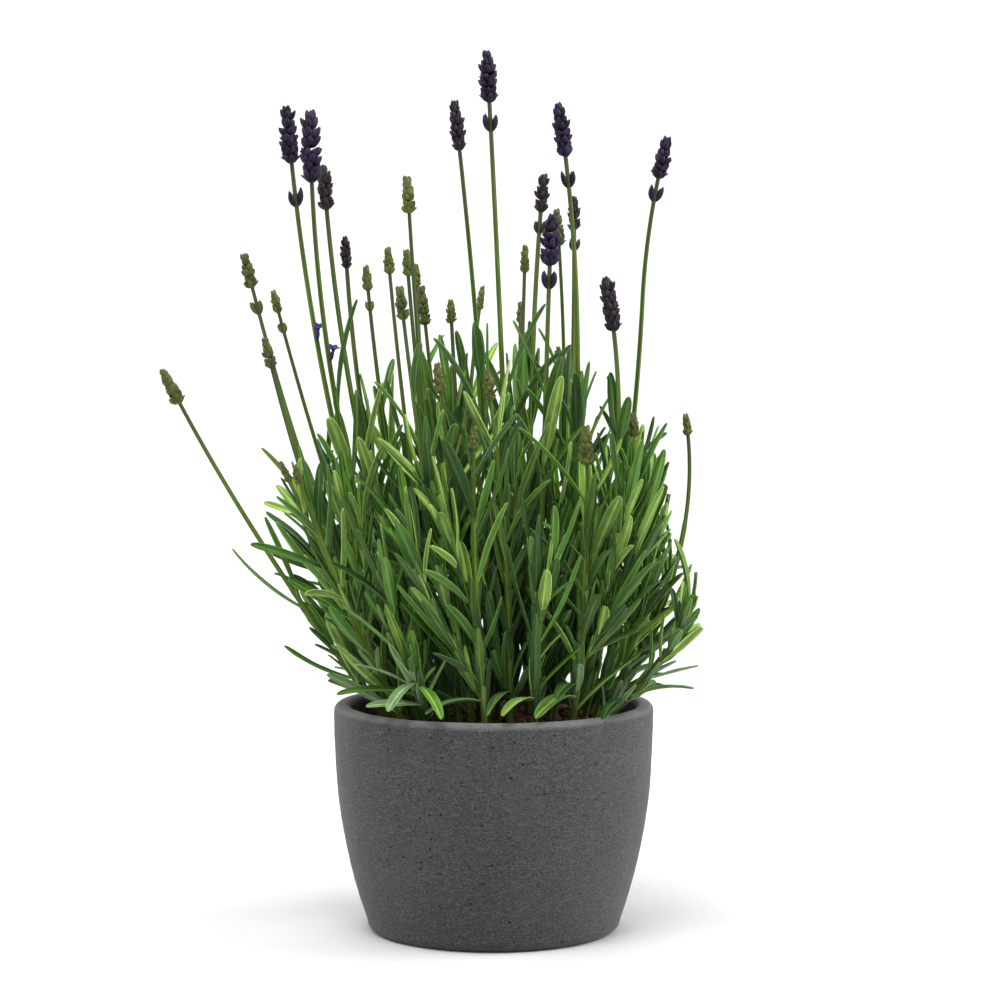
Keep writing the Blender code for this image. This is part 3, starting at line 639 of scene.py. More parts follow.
def skin_calyx(skin, base, heading, outward, length, radius, bend, tone, ribs=7, mouth=0.0):
    """A ribbed, plump, pointed tube that bends towards `outward` or back to its stem."""
    s = CALYX_STEPS
    angle = bend * s
    steps = np.r_[0, np.diff(s)]
    along, out = np.cumsum(steps * np.cos(angle)), np.cumsum(steps * np.sin(angle))
    heading_row, outward_row = np.array(heading), np.array(outward)
    middles = np.array(base) + length * (along[:, None] * heading_row + out[:, None] * outward_row)
    normals = np.cos(angle)[:, None] * outward_row - np.sin(angle)[:, None] * heading_row
    sides = np.tile(np.array(heading.cross(outward).normalized()), (len(s), 1))
    plump = np.maximum(np.sin(math.pi * (0.08 + 0.92 * s**0.95)) ** 0.62, mouth * s**3)
    plump[-1] = max(plump[-1], 0.1)
    angles = round_angles(CALYX_SIDES)
    rib = np.cos(ribs * angles)[None] * np.sin(math.pi * np.clip(s, 0, 0.9) / 0.9)[:, None]
    bulge = radius * plump[:, None] * (1 + 0.09 * rib)
    rings = cross_rings(middles, normals, sides, np.cos(angles)[None] * bulge, np.sin(angles)[None] * bulge)
    end = middles[-1] + (middles[-1] - middles[-2]) * 0.8
    # The sides and normals turn the other way round the tube, so each row is reversed.
    skin.tube(rings, middles[0], end, tone, (angles * radius, s[:, None] * length),
              (rib, s[:, None], 1), turned=True)


BRACT_STEPS = np.array([0, 0.12, 0.3, 0.5, 0.68, 0.83, 0.93, 0.98])
BRACT_UPPER = np.array([-1, -0.6, -0.2, 0.2, 0.6, 1])
BRACT_ROUND = np.concatenate([BRACT_UPPER, BRACT_UPPER[-2:0:-1]])
BRACT_HALF_THICKNESS = 0.16 * MM * np.repeat((1, -1), (len(BRACT_UPPER), len(BRACT_UPPER) - 2))


def skin_bract(skin, base, heading, outward, length, half_width, spread, curl, hug, tone, point=1.4):
    """A pointed scale, cupped round what it covers."""
    leaf = Leaf(base, heading, outward, spread, curl, length, 2 * half_width)
    s, u = BRACT_STEPS, BRACT_ROUND
    middles, sides, faces = spine(leaf, s)
    half = (half_width * (np.sin(math.pi * (0.12 + 0.5 * s)) * (1 - s**2.2) ** (1 / point)))[:, None]
    rings = cross_rings(middles, sides, faces, half * u, hug * half * u**2 + BRACT_HALF_THICKNESS)
    skin.tube(rings, leaf.at(BLADE_ROOT), leaf.at(1.0), tone, (half * u, s[:, None] * length),
              (u, s[:, None], 0.5), turned=True)


def leaning(heading, outward, lean):
    """A heading leant outwards, and the direction square to it on its outer side."""
    return (
        heading * math.cos(lean) + outward * math.sin(lean),
        outward * math.cos(lean) - heading * math.sin(lean),
    )


# A head that all the proportions below are made for has this radius.
USUAL_HEAD = 4.3 * MM


def skin_head(calyces, bracts, stem, first, last, radius, green, ripe, rng):
    """A flower head: whorls of two tiers of overlapping calyces, a tuft on top and bracts under each tier."""
    length = stem.length * (last - first)
    size = radius / USUAL_HEAD
    calyx = (4.9 if green else 5.4) * MM * size**0.8
    crown = 0.74 * calyx
    tiers = max(3, round((length - crown) / ((0.56 if green else 0.58) * calyx)) + 1)
    count, top_count = (5, 4) if green else (7, 5)
    places = np.cumsum([0.0] + [0.8 if w % 2 == 0 else 1.2 for w in range(tiers - 1)]).tolist()
    for w in range(tiers):
        share, is_tuft = places[w] / places[-1], w == tiers - 1
        t = first + (last - first) * (0.02 + share * (0.98 - crown / length))
        heading, turn = stem.heading(t), math.pi / count * w + rng.uniform(-0.15, 0.15)
        base = stem.at(t)
        full = 0.96 + 0.1 * math.sin(math.pi * min(1.0, share / 0.7)) - 0.42 * max(0.0, share - 0.5)
        full -= 0.22 * share if green else 0.0
        full *= rng.uniform(0.95, 1.05) * (1.03 if w % 2 == 0 else 0.93)
        plump = (0.37 if green else 0.31) * radius * (0.75 + 0.25 * full)
        reach = max(0.1 * radius, full * radius - 0.3 * plump - 0.3 * MM)
        tilt = 0.3 if is_tuft else math.asin(min(0.85, reach / (0.92 * calyx)))
        here = count if share < 0.8 else top_count
        for k in range(here):
            outward = across(heading, turn + 2 * math.pi * k / here + rng.uniform(-0.16, 0.16))[0]
            way, out = leaning(heading, outward, tilt * rng.uniform(0.82, 1.14))
            tone = (rng.random(), ripe + rng.uniform(-0.15, 0.15), share)
            long = calyx * rng.uniform(0.86, 1.1) * (0.86 if is_tuft else 1)
            start = base + outward * (0.35 * MM) + heading * rng.uniform(-0.4, 0.4) * MM * size
            wide, bend = plump * rng.uniform(0.88, 1.08), rng.uniform(-0.4, 0.05)
            skin_calyx(calyces, start, way, out, long, wide, bend, tone)
        for k in range(2 if share < 0.9 else 0):
            outward = across(heading, turn + math.pi * k + math.pi / 2 * w)[0]
            tone = (rng.random(), rng.random(), share)
            start = base + outward * (0.4 * MM) - heading * (0.4 * MM)
            skin_bract(bracts, start, heading, outward, 0.95 * calyx * full, (0.5 if green else 0.4) * radius,
                       tilt + 0.3, -0.45, 0.5, tone)


def skin_lower_whorl(calyces, bracts, stem, at, radius, ripe, rng):
    """Two upright clusters of calyces on opposite sides of the stem, each cupped by a bract."""
    heading, base = stem.heading(at), stem.at(at)
    turn = rng.uniform(-0.45, 0.45)
    for side in (0, math.pi):
        for k in (-0.5, 0.5):
            outward = across(heading, turn + side + 0.7 * k)[0]
            way, out = leaning(heading, outward, rng.uniform(0.42, 0.56))
            tone = (rng.random(), ripe + rng.uniform(-0.1, 0.1), 0.3)
            long = 1.85 * radius * rng.uniform(0.82, 1.05)
            skin_calyx(calyces, base + outward * (0.7 * MM), way, out, long, 0.3 * radius, -0.42, tone)
        outward = across(heading, turn + side)[0]
        start = base + outward * (0.6 * MM) - heading * (0.5 * MM)
        skin_bract(bracts, start, heading, outward, 1.05 * radius, 0.5 * radius, 0.85, -0.6, 0.6,
                   (rng.random(), 0.1, 0.0))


def skin_corolla(skin, base, heading, outward, size, rng):
    """A small two-lipped flower: a tube that opens into five rounded lobes."""
    side = heading.cross(outward).normalized()
    tone = (rng.random(), 0.9, 0.5)
    skin_calyx(skin, base, heading, outward, size * 0.9, size * 0.16, 0.2, tone, ribs=2, mouth=0.9)
    mouth = base + heading * (size * 0.85)
    for k, long in enumerate((0.62, 0.5, 0.5, 0.5, 0.62)):
        angle = 2 * math.pi * (k + 0.5) / 5
        way = outward * math.cos(angle) + side * math.sin(angle)
        skin_bract(skin, mouth, heading, way, size * long, size * 0.26, 0.75, 0.5, -0.25,
                   (rng.random(), 0.95, 0.5), point=3.0)


# ======== extra leaves: small ones between and above the ones that the solids have ========

TIP_LEAVES = leaf_plan((14, 27), (2.2, 3.5), (0.06, 0.34))
AXIL_LEAVES = leaf_plan((14, 30), (1.8, 3.2), (0.14, 0.5), spacing=9, last=50)
INNER_LEAVES = leaf_plan((28, 47), (3.6, 6.0), (0.12, 0.45), spacing=5, last=70)
STALK_EXTRA = leaf_plan((36, 60), (3.6, 6.6), (0.1, 0.4), spacing=20, last=150, first=12)
SHOOT_EXTRA = leaf_plan((26, 46), (3.2, 5.6), (0.24, 0.85), spacing=12, last=128, first=6)
TWIG_LEAVES = leaf_plan((24, 44), (3.0, 5.2), (0.18, 0.62), spacing=10, last=88, first=8)
TWIG_ROUNDS = 3
TIP_COUNT = 6
FULL_TURN = 6.28

# The leaning shoots on the left edge, which show their stems and buds.
BARE_OUTSIDE = ("stalk_13", "leafy_shoot_09")


def grow_twig(shoot, thicket, rng):
    """A short leafy side stem from low on the shoot, if there is room for one."""
    main = shoot.axes[0]["stem"]
    for _ in range(12):
        t = rng.uniform(5, 45) * MM / main.length
        heading, root = main.heading(t), main.at(t)
        outward = across(heading, rng.uniform(0, 2 * math.pi))[0]
        lean, long = rng.uniform(0.3, 0.75), rng.uniform(45, 95) * MM
        way = leaning(heading, outward, lean)[0]
        tip = root + (way * 0.6 + heading * 0.25 + Vector((0, 0, 0.2))) * long
        twig = Stem(root, root + way * (long * 0.45), tip)
        points = rows_of(stem_points(twig))
        x, y, z = points.T
        inside = (np.abs(x) < BUSH_HALF) & (np.abs(y) < BUSH_HALF - 8 * MM) & (z < bush_top(x) - 15 * MM)
        low = z[np.hypot(x, y) > POT_RADIUS - POT_WALL - 4 * MM]
        if inside.all() and (low > POT_HEIGHT + 3 * MM).all() and thicket.free(points, shoot.number):
            thicket.take(points, shoot.number)
            shoot.axes.append({"stem": twig, "head": None, "gap": None, "neck": 1.0, "kind": "twig"})
            return


def grow_extra(shoots, thicket):
    """Twigs, then more leaves, on every shoot. They may lie closer together than the solids' own leaves."""
    rng = random.Random(PLANT_SEED + 1)
    for _ in range(TWIG_ROUNDS):
        for shoot in shoots:
            grow_twig(shoot, thicket, rng)
    thicket.AROUND = [(0, 0, 0)]
    for shoot in sorted(shoots, key=lambda s: s.name.startswith("leafy")):
        grown = [axis for axis in shoot.axes if axis["kind"] != "twig"]
        twigs = [axis for axis in shoot.axes if axis["kind"] == "twig"]
        plan = STALK_EXTRA if shoot.name.startswith("stalk") else SHOOT_EXTRA
        for axes, leaves in ((grown, plan), (twigs, TWIG_LEAVES)):
            shoot.axes = axes
            grow_leaves(shoot, leaves, rng, thicket)
        shoot.axes = grown + twigs
    for shoot in shoots:
        leafy = shoot.name.startswith("leafy")
        for axis in shoot.axes:
            stem = axis["stem"]
            if axis["kind"] == "twig" or leafy and not axis["head"]:
                for k in range(TIP_COUNT):
                    t = 1 - (1 + 3.5 * (k // 2)) * MM / stem.length
                    turn = shoot.twist + math.pi / 4 + math.pi * k + math.pi / 2 * (k // 2)
                    try_leaf(shoot, stem, t, turn, TIP_LEAVES, rng, thicket)
            for plan in (AXIL_LEAVES,) if shoot.name in BARE_OUTSIDE else (INNER_LEAVES, AXIL_LEAVES):
                along = 8 * MM
                while along < min(plan["last"] + 20 * MM * leafy, stem.length - 5 * MM):
                    for _ in range(3):
                        turn = rng.uniform(0, FULL_TURN)
                        try_leaf(shoot, stem, along / stem.length, turn, plan, rng, thicket)
                    along += plan["spacing"]


# ======== materials ========


class Nodes:
    """Short ways to add shader nodes to one material and link them."""

    def __init__(self, name, roughness, sheen=0.0, specular=0.5, tint=(1, 1, 1)):
        self.material = bpy.data.materials.new(name)
        self.material.use_nodes = True
        self.tree = self.material.node_tree
        self.shader = self.tree.nodes["Principled BSDF"]
        looks = (("Roughness", roughness), ("Sheen Weight", sheen), ("Specular IOR Level", specular))
        for key, value in looks + (("Specular Tint", (*tint, 1)),):
            self.shader.inputs[key].default_value = value

    def put(self, socket, value):
        if isinstance(value, bpy.types.NodeSocket):
            self.tree.links.new(value, socket)
        elif value is not None:
            socket.default_value = value

    def add(self, kind, inputs, **settings):
        """A new node with its settings, and a value or a link for each of its named inputs."""
        node = self.tree.nodes.new("ShaderNode" + kind)
        for key, value in settings.items():
            setattr(node, key, value)
        for key, value in inputs.items():
            self.put(node.inputs[key], value)
        return node.outputs

    def attribute(self, name):
        return self.add("Attribute", {}, attribute_name=name)["Vector"]

    def parts(self, vector):
        """The three parts of a vector, or of the mesh's own vector with that name."""
        return self.add("SeparateXYZ", {0: self.attribute(vector) if isinstance(vector, str) else vector})

    def place(self):
        return self.add("TexCoord", {})["Object"]

    def scaled(self, vector, scale):
        return self.add("Mapping", {"Vector": vector, "Scale": scale})["Vector"]

    def noise(self, vector, scale, detail=3.0, rough=0.5):
        inputs = {"Vector": vector, "Scale": scale, "Detail": detail, "Roughness": rough}
        return self.add("TexNoise", inputs)["Fac"]

    def streaks(self, across_grain, along_grain, detail, rough=0.5):
        """Noise on a piece's own grain, scaled across it and along it."""
        grain = self.scaled(self.attribute("grain"), (across_grain, along_grain, 1.0))
        return self.noise(grain, 1.0, detail, rough)

    def cells(self, vector, scale):
        made = self.add("TexVoronoi", {"Vector": vector, "Scale": scale})
        return made["Distance"], self.parts(made["Color"])

    def fit(self, value, low, high, to_low=0.0, to_high=1.0, curve="SMOOTHSTEP"):
        inputs = {"Value": value, "From Min": low, "From Max": high, "To Min": to_low, "To Max": to_high}
        return self.add("MapRange", inputs, interpolation_type=curve)["Result"]

    def math(self, kind, a, b=None):
        return self.add("Math", {0: a, 1: b}, operation=kind)[0]

    def times(self, a, b):
        return self.math("MULTIPLY", a, b)

    def mix(self, share, a, b, kind="MIX"):
        colours = {key: (*c, 1) if isinstance(c, tuple) else c for key, c in ((6, a), (7, b))}
        return self.add("Mix", {"Factor": share, **colours}, data_type="RGBA", blend_type=kind)[2]

    def layers(self, colour, *steps):
        """Mixes other colours over a colour. Each step is the other colour and its share."""
        for other, share in steps:
            colour = self.mix(share, colour, other)
        return colour

    def bump(self, height, strength, distance):
        inputs = {"Strength": strength, "Distance": distance, "Height": height}
        self.put(self.shader.inputs["Normal"], self.add("Bump", inputs)["Normal"])

    def finish(self, colour, roughness=None):
        self.put(self.shader.inputs["Base Color"], colour)
        self.put(self.shader.inputs["Roughness"], roughness)
        return self.material


def leaf_material(name, dark, fresh, lime, grey, pale):
    """Leaf green that varies from leaf to leaf, with a pale midrib and margins, fine veins and a greyer
    underside. tone is (how bright, how yellow, how grey)."""
    n = Nodes(name, 0.5, specular=0.14, tint=(0.4, 1, 0.25))
    bright, yellow, greyness = n.parts("tone")
    across_leaf, along_leaf, upper = n.parts("place")
    middle = n.math("ABSOLUTE", across_leaf)
    veins, blotches = n.streaks(2.6, 0.07, 2.0), n.streaks(0.35, 0.12, 3.0)
    colour = n.layers(
        n.mix(n.fit(bright, 0.05, 0.95, curve="LINEAR"), dark, fresh),
        (lime, n.times(n.fit(yellow, 0.3, 1.0), 0.95)),
        (grey, n.times(n.fit(greyness, 0.3, 1.0), 0.9)),
    )
    light = n.mix(0.16, n.mix(1.0, colour, (2.0, 1.8, 2.0), "MULTIPLY"), pale)
    colour = n.layers(
        colour,
        (dark, n.fit(blotches, 0.35, 0.7, 0.0, 0.5)),
        (light, n.fit(veins, 0.4, 0.7, 0.0, 0.55)),
        (dark, n.fit(middle, 0.1, 0.45, 0.0, 0.35)),
        (light, n.fit(middle, 0.03, 0.2, 0.6, 0.0)),
        (light, n.fit(middle, 0.84, 1.0, 0.0, 0.7)),
        (light, n.fit(along_leaf, 0.0, 0.2, 0.4, 0.0)),
        (grey, n.times(n.math("SUBTRACT", 1.0, upper), 0.14)),
    )
    n.bump(n.math("ADD", veins, n.times(blotches, 0.6)), 0.35, 0.3 * MM)
    return n.finish(colour, n.fit(veins, 0.3, 0.8, 0.38, 0.52))


def stem_material(name, dark, light, woody, top):
    """Square-stem green: pale corner ribs, darker flats, brown near the soil, duller below the flower head.
    tone is (how bright, how woody its foot, how dull its top)."""
    n = Nodes(name, 0.5, specular=0.18, tint=(0.7, 1, 0.5))
    bright, woodiness, topness = n.parts("tone")
    corner, along_stem, _ = n.parts("place")
    stripes, patches = n.streaks(3.0, 0.05, 2.0), n.streaks(0.6, 0.09, 3.0)
    _, _, height = n.parts(n.place())
    base_wood = n.times(n.fit(height, 98 * MM, 135 * MM, 1.0, 0.0), woodiness)
    colour = n.layers(
        dark,
        (light, n.fit(bright, 0.0, 1.0, 0.15, 0.6)),
        (light, n.fit(corner, 0.5, 0.95, 0.0, 0.6)),
        (dark, n.fit(stripes, 0.42, 0.6, 0.0, 0.5)),
        (top, n.times(n.fit(along_stem, 0.6, 1.0), topness)),
        (woody, n.times(base_wood, n.fit(patches, 0.3, 0.6, 0.5, 1.0))),
    )
    n.bump(stripes, 0.3, 0.3 * MM)
    return n.finish(colour)


def calyx_material(name, base, body, tip, pale, unripe):
    """Felted calyces: greenish at the base, ribbed, with the buds' colour at the tips. tone is (how deep,
    how ripe, how far up the head)."""
    n = Nodes(name, 0.5, sheen=0.04, specular=0.22)
    n.shader.inputs["Sheen Tint"].default_value = (*pale, 1)
    bright, ripe, _ = n.parts("tone")
    rib, along_calyx, _ = n.parts("place")
    felt = n.streaks(2.2, 1.1, 3.0, 0.6)
    unlike = n.times(n.math("SUBTRACT", bright, 0.5), 0.5)
    colour = n.layers(
        base,
        (body, n.fit(along_calyx, 0.04, 0.3)),
        (tip, n.fit(n.math("ADD", along_calyx, unlike), 0.45, 0.95, 0.0, 0.85)),
        (pale, n.times(n.fit(rib, 0.2, 1.0), 0.3)),
        (pale, n.fit(felt, 0.5, 0.75, 0.0, 0.45)),
        (unripe, n.fit(ripe, 0.0, 0.75, 0.85, 0.0)),
        (body, n.fit(bright, 0.0, 1.0, 0.5, 0.0)),
    )
    n.bump(felt, 0.4, 0.2 * MM)
    return n.finish(colour)


def bract_material(name, body, edge, vein):
    """Papery scales with a brown, ragged edge and fine lengthwise veins."""
    n = Nodes(name, 0.6, specular=0.2)
    bright, _, _ = n.parts("tone")
    across_scale, along_scale, _ = n.parts("place")
    veins = n.streaks(4.5, 0.3, 2.0)
    rim = n.math("MAXIMUM", n.math("ABSOLUTE", across_scale), along_scale)
    colour = n.layers(
        body,
        (vein, n.fit(veins, 0.4, 0.65, 0.0, 0.5)),
        (edge, n.fit(rim, 0.55, 1.0, 0.0, 0.75)),
        (edge, n.fit(bright, 0.2, 1.0, 0.0, 0.3)),
    )
    n.bump(veins, 0.4, 0.2 * MM)
    return n.finish(colour)


def pot_material():
    """Cast stoneware: dark grey with fine pale and black grains, short scratches and small open pits."""
    n = Nodes("pot_stone", 0.78, sheen=0.12, specular=0.2)
    at = n.place()
    mottle = n.noise(at, 160.0, 4.0, 0.65)
    fine = n.noise(n.scaled(at, (1.0, 1.0, 2.0)), 1050.0, 3.0, 0.75)
    streak = n.noise(n.scaled(at, (1.0, 1.0, 5.0)), 260.0, 3.0, 0.65)
    pale_spot, spot_kind = n.cells(at, 560.0)
    dark_spot, _ = n.cells(n.scaled(at, (1.07, 0.93, 1.0)), 430.0)
    pits, pit_kind = n.cells(n.scaled(at, (1.0, 1.0, 1.5)), 230.0)
    large_pits, large_kind = n.cells(n.scaled(at, (0.9, 1.1, 1.7)), 150.0)
    is_small = n.times(n.fit(pits, 0.12, 0.19, 1.0, 0.0), n.fit(pit_kind[0], 0.76, 0.8))
    is_large = n.times(n.fit(large_pits, 0.09, 0.14, 1.0, 0.0), n.fit(large_kind[0], 0.82, 0.86))
    is_pit = n.math("MAXIMUM", is_small, is_large)
    rare = n.fit(spot_kind[1], 0.7, 0.75)
    _, _, height = n.parts(at)
    # A lighter band round the top of the lip: painted highlight on the rounded lip, and partly wear.
    lip_wear_and_highlight = n.fit(height, 96.8 * MM, 99.2 * MM)
    colour = n.layers(
        (0.037, 0.037, 0.0375),
        ((0.049, 0.049, 0.0495), n.fit(n.noise(at, 22.0, 4.0, 0.6), 0.3, 0.7)),
        ((0.066, 0.066, 0.067), n.fit(mottle, 0.4, 0.68, 0.0, 0.25)),
        ((0.12, 0.12, 0.121), n.fit(fine, 0.5, 0.66, 0.0, 0.7)),
        ((0.009, 0.009, 0.01), n.fit(fine, 0.48, 0.34, 0.0, 0.85)),
        ((0.1, 0.1, 0.102), n.fit(streak, 0.52, 0.68, 0.0, 0.6)),
        ((0.2, 0.2, 0.2), n.times(rare, n.fit(pale_spot, 0.08, 0.16, 0.7, 0.0))),
        ((0.012, 0.012, 0.013), n.fit(dark_spot, 0.07, 0.15, 0.6, 0.0)),
        # Near black in the pits: painted shade inside them.
        ((0.005, 0.005, 0.006), is_pit),
        ((0.17, 0.17, 0.172), n.times(lip_wear_and_highlight, n.fit(mottle, 0.3, 0.6, 0.42, 0.55))),
    )
    relief = n.math("ADD", n.times(fine, 0.6), n.times(mottle, 0.15))
    n.bump(n.math("SUBTRACT", relief, is_pit), 0.3, 0.3 * MM)
    return n.finish(colour, n.fit(mottle, 0.3, 0.7, 0.7, 0.88))


def soil_material(name, dark, brown, red):
    n = Nodes(name, 0.95, specular=0.2)
    big, small = n.noise(n.place(), 120.0, 4.0, 0.6), n.noise(n.place(), 700.0, 4.0, 0.7)
    colour = n.layers(
        dark,
        (brown, n.fit(big, 0.35, 0.65)),
        (red, n.fit(small, 0.45, 0.7, 0.0, 0.8)),
        ((0.01, 0.005, 0.004), n.fit(small, 0.42, 0.25)),
    )
    n.bump(small, 0.8, 0.8 * MM)
    return n.finish(colour)


# ======== pot and soil ========

POT_STEPS = 200
# How far the cast pot is from true: the size of its waves, and how many there are to a metre.
POT_WAVES = ((0.22 * MM, 45), (0.12 * MM, 260))
LIP_WAVE = (0.2 * MM, 40)
SOIL_RINGS, SOIL_STEPS = 56, 220
SOIL_GAP = 0.4 * MM
SOIL_UNDERSIDE = 75 * MM
SOIL_WAVES = ((1.6 * MM, 90), (1.1 * MM, 260), (0.6 * MM, 700))


def pot_outline():
    """(radius, height) down the outside from the middle of the inner floor."""
    inner, lip = POT_RADIUS - POT_WALL, POT_HEIGHT - POT_LIP_ROUND

    def curve(centre, radius, start, end, count):
        angles = np.radians(np.linspace(start, end, count))
        return [(centre[0] + radius * math.cos(a), centre[1] + radius * math.sin(a)) for a in angles]

    def outer(height):
        return POT_RADIUS - POT_BASE_INSET * (1 - height / POT_HEIGHT) ** POT_INSET_POWER

    corner = outer(POT_FLOOR) - POT_WALL - POT_FOOT_ROUND
    foot = outer(POT_FOOT_ROUND) - POT_FOOT_ROUND
    lip_out = POT_RADIUS - POT_LIP_ROUND
    points = [(r, POT_FLOOR) for r in np.linspace(0, corner, 10)[:-1]]
    points += curve((corner, POT_FLOOR + POT_FOOT_ROUND), POT_FOOT_ROUND, -90, 0, 7)
    points += [(outer(h) - POT_WALL, h) for h in np.linspace(18 * MM, 95 * MM, 30)]
    points += curve((inner + POT_LIP_ROUND, lip), POT_LIP_ROUND, 180, 90, 9)
    points += [(r, POT_HEIGHT) for r in np.linspace(inner + POT_LIP_ROUND, lip_out, 4)[1:-1]]
    points += curve((lip_out, lip), POT_LIP_ROUND, 90, 0, 9)
    points += [(outer(h), h) for h in np.linspace(95.5 * MM, 6.5 * MM, 62)]
    points += curve((foot, POT_FOOT_ROUND), POT_FOOT_ROUND, 0, -90, 10)
    points += [(r, 0.0) for r in np.linspace(foot, 0, 12)[1:]]
    return points


def waves(place, sizes):
    return sum(size * noise.noise(place * rate) for size, rate in sizes)


def make_pot(material):
    """The turned pot, cast slightly uneven, as a closed surface."""
    outline = pot_outline()
    points = [(0, 0, outline[0][1])]
    for radius, height in outline[1:-1]:
        for angle in round_angles(POT_STEPS):
            x, y = radius * math.cos(angle), radius * math.sin(angle)
            drop = waves(Vector((x, y, 3)), (LIP_WAVE,)) if height > 96 * MM else 0.0
            flat_foot = min(1.0, height / (4 * MM))
            grow = 1 + waves(Vector((x, y, height)), POT_WAVES) * flat_foot / max(radius, 10 * MM)
            points.append((x * grow, y * grow, height + drop))
    points.append((0, 0, 0))
    rows = len(outline) - 2
    at = 1 + np.arange(rows * POT_STEPS).reshape(rows, POT_STEPS)
    # Each quad starts at its second corner, so that it is cut into triangles along the other diagonal.
    faces = np.roll(ring_quads(at), -1, 1).tolist()
    faces += fan(0, at[0]) + fan(len(points) - 1, at[-1], turned=True)
    add_piece("stoneware_pot", np.array(points).tolist(), faces, material, ("pot",))


def soil_top(x, y):
    """The crumbly surface of the soil."""
    return soil_height(x, y) - 0.6 * MM + waves(Vector((x, y, 0)), SOIL_WAVES)


def make_soil(material):
    edge = POT_RADIUS - POT_WALL - SOIL_GAP
    points = [(0, 0, soil_top(0, 0))]
    for ring in range(1, SOIL_RINGS + 2):
        sunk = ring > SOIL_RINGS
        radius = edge * (0.995 if sunk else (ring / SOIL_RINGS) ** 0.8)
        for angle in round_angles(SOIL_STEPS).tolist():
            x, y = radius * math.cos(angle), radius * math.sin(angle)
            points.append((x, y, SOIL_UNDERSIDE if sunk else soil_top(x, y)))
    points.append((0, 0, SOIL_UNDERSIDE))
    at = 1 + np.arange((SOIL_RINGS + 1) * SOIL_STEPS).reshape(SOIL_RINGS + 1, SOIL_STEPS)
    faces = ring_quads(at, turned=True) + fan(0, at[0]) + fan(len(points) - 1, at[-1], turned=True)
    add_piece("soil_bed", points, faces, material, ("potting_soil",))


CRUMBS, FIBRES = 620, 110
CRUMB_SIZES = (0.7 * MM, 0.9 * MM, 1.2 * MM, 1.7 * MM, 2.4 * MM)
CRUMB_REACH, FIBRE_REACH = 60.8 * MM, 56 * MM
CRUMB_LIMIT = 61.2 * MM
CRUMB_SIDES = 7


def skin_crumb(skin, middle, size, rng):
    turn, rings = rng.uniform(0, math.pi), []
    for level in (-0.85, -0.35, 0.3, 0.8):
        wide, ring = math.sqrt(1 - level * level * 0.9), []
        for angle in round_angles(CRUMB_SIDES) + turn:
            knob = size * wide * rng.uniform(0.72, 1.15)
            offset = (math.cos(angle) * knob * 1.25, math.sin(angle) * knob * 0.9, level * size * 0.75)
            ring.append(middle + np.array(offset))
        rings.append(ring)
    low, high = middle - (0, 0, size * 0.8), middle + (0, 0, size * 0.75)
    skin.tube(np.array(rings), low, high, (rng.random(), rng.random(), 0))


def skin_fibre(skin, middle, turn, long, rng):
    way = np.array((math.cos(turn), math.sin(turn), rng.uniform(-0.1, 0.25)))
    cross = np.array((-math.sin(turn), math.cos(turn), 0))
    bend, rings = rng.uniform(-0.25, 0.25), []
    for s in np.linspace(-0.5, 0.5, 6):
        at = middle + way * long * s + cross * bend * long * (s * s - 0.1)
        thick = rng.uniform(0.18 * MM, 0.3 * MM)
        rings.append([at + cross * thick * math.cos(angle) * 1.6 + np.array((0, 0, thick * math.sin(angle)))
                      for angle in round_angles(CRUMB_SIDES)])
    rings = np.array(rings)
    skin.tube(rings, rings[0].mean(0), rings[-1].mean(0), (rng.random(), rng.random(), 0))


def make_crumbs(material, fibre_material):
    """Crumbs of peat and bark that lie on the soil, and fibres between them."""
    rng = random.Random(21)
    crumbs, fibres = Skin(), Skin()
    for _ in range(CRUMBS):
        r, a = CRUMB_REACH * math.sqrt(rng.random()), rng.uniform(0, 2 * math.pi)
        size = rng.choice(CRUMB_SIZES) * rng.uniform(0.8, 1.2)
        x, y = r * math.cos(a), r * math.sin(a)
        if r + size <= CRUMB_LIMIT:
            skin_crumb(crumbs, np.array((x, y, soil_top(x, y) + size * 0.25)), size, rng)
    for _ in range(FIBRES):
        r, a = FIBRE_REACH * math.sqrt(rng.random()), rng.uniform(0, 2 * math.pi)
        x, y = r * math.cos(a), r * math.sin(a)
        turn, long = rng.uniform(0, math.pi), rng.uniform(3 * MM, 8 * MM)
        skin_fibre(fibres, np.array((x, y, soil_top(x, y) + 0.9 * MM)), turn, long, rng)
    crumbs.piece("soil_crumbs", material, "potting_soil")
    fibres.piece("soil_fibres", fibre_material, "potting_soil")


# ======== the plant ========

# How purple each spike that has coloured up is, from olive brown to deep violet.
RIPENESS = {
    "01": 0.9, "02": 1.0, "03": 0.25, "04": 0.1, "05": 0.4, "06": 0.6,
    "07": 0.15, "08": 1.0, "09": 0.85, "10": 0.2, "11": 0.35, "12": 0.8,
}
DULL_BUDS = ("stalk_14", "stalk_16", "stalk_21", "stalk_22", "stalk_25", "leafy_shoot_05")
# Radius of a stem at its foot and at its tip.
STEM_RADII = {
    "coloured": (1.5 * MM, 0.95 * MM), "green": (1.3 * MM, 0.8 * MM),
    "leafy": (1.4 * MM, 0.8 * MM), "twig": (1.0 * MM, 0.6 * MM),
}
STEM_IN_SOIL = 4 * MM
# The two open flowers: stalk, height, and how far to the right each one looks.
OPEN_FLOWERS = (("stalk_01", 259 * MM, 0.5), ("stalk_02", 250 * MM, 0.9))
FLOWER_SIZE = 6.2 * MM
FLOWER_ALONG, FLOWER_OUT = 0.87, 0.49


def clamp(value):
    return max(0.0, min(1.0, value))


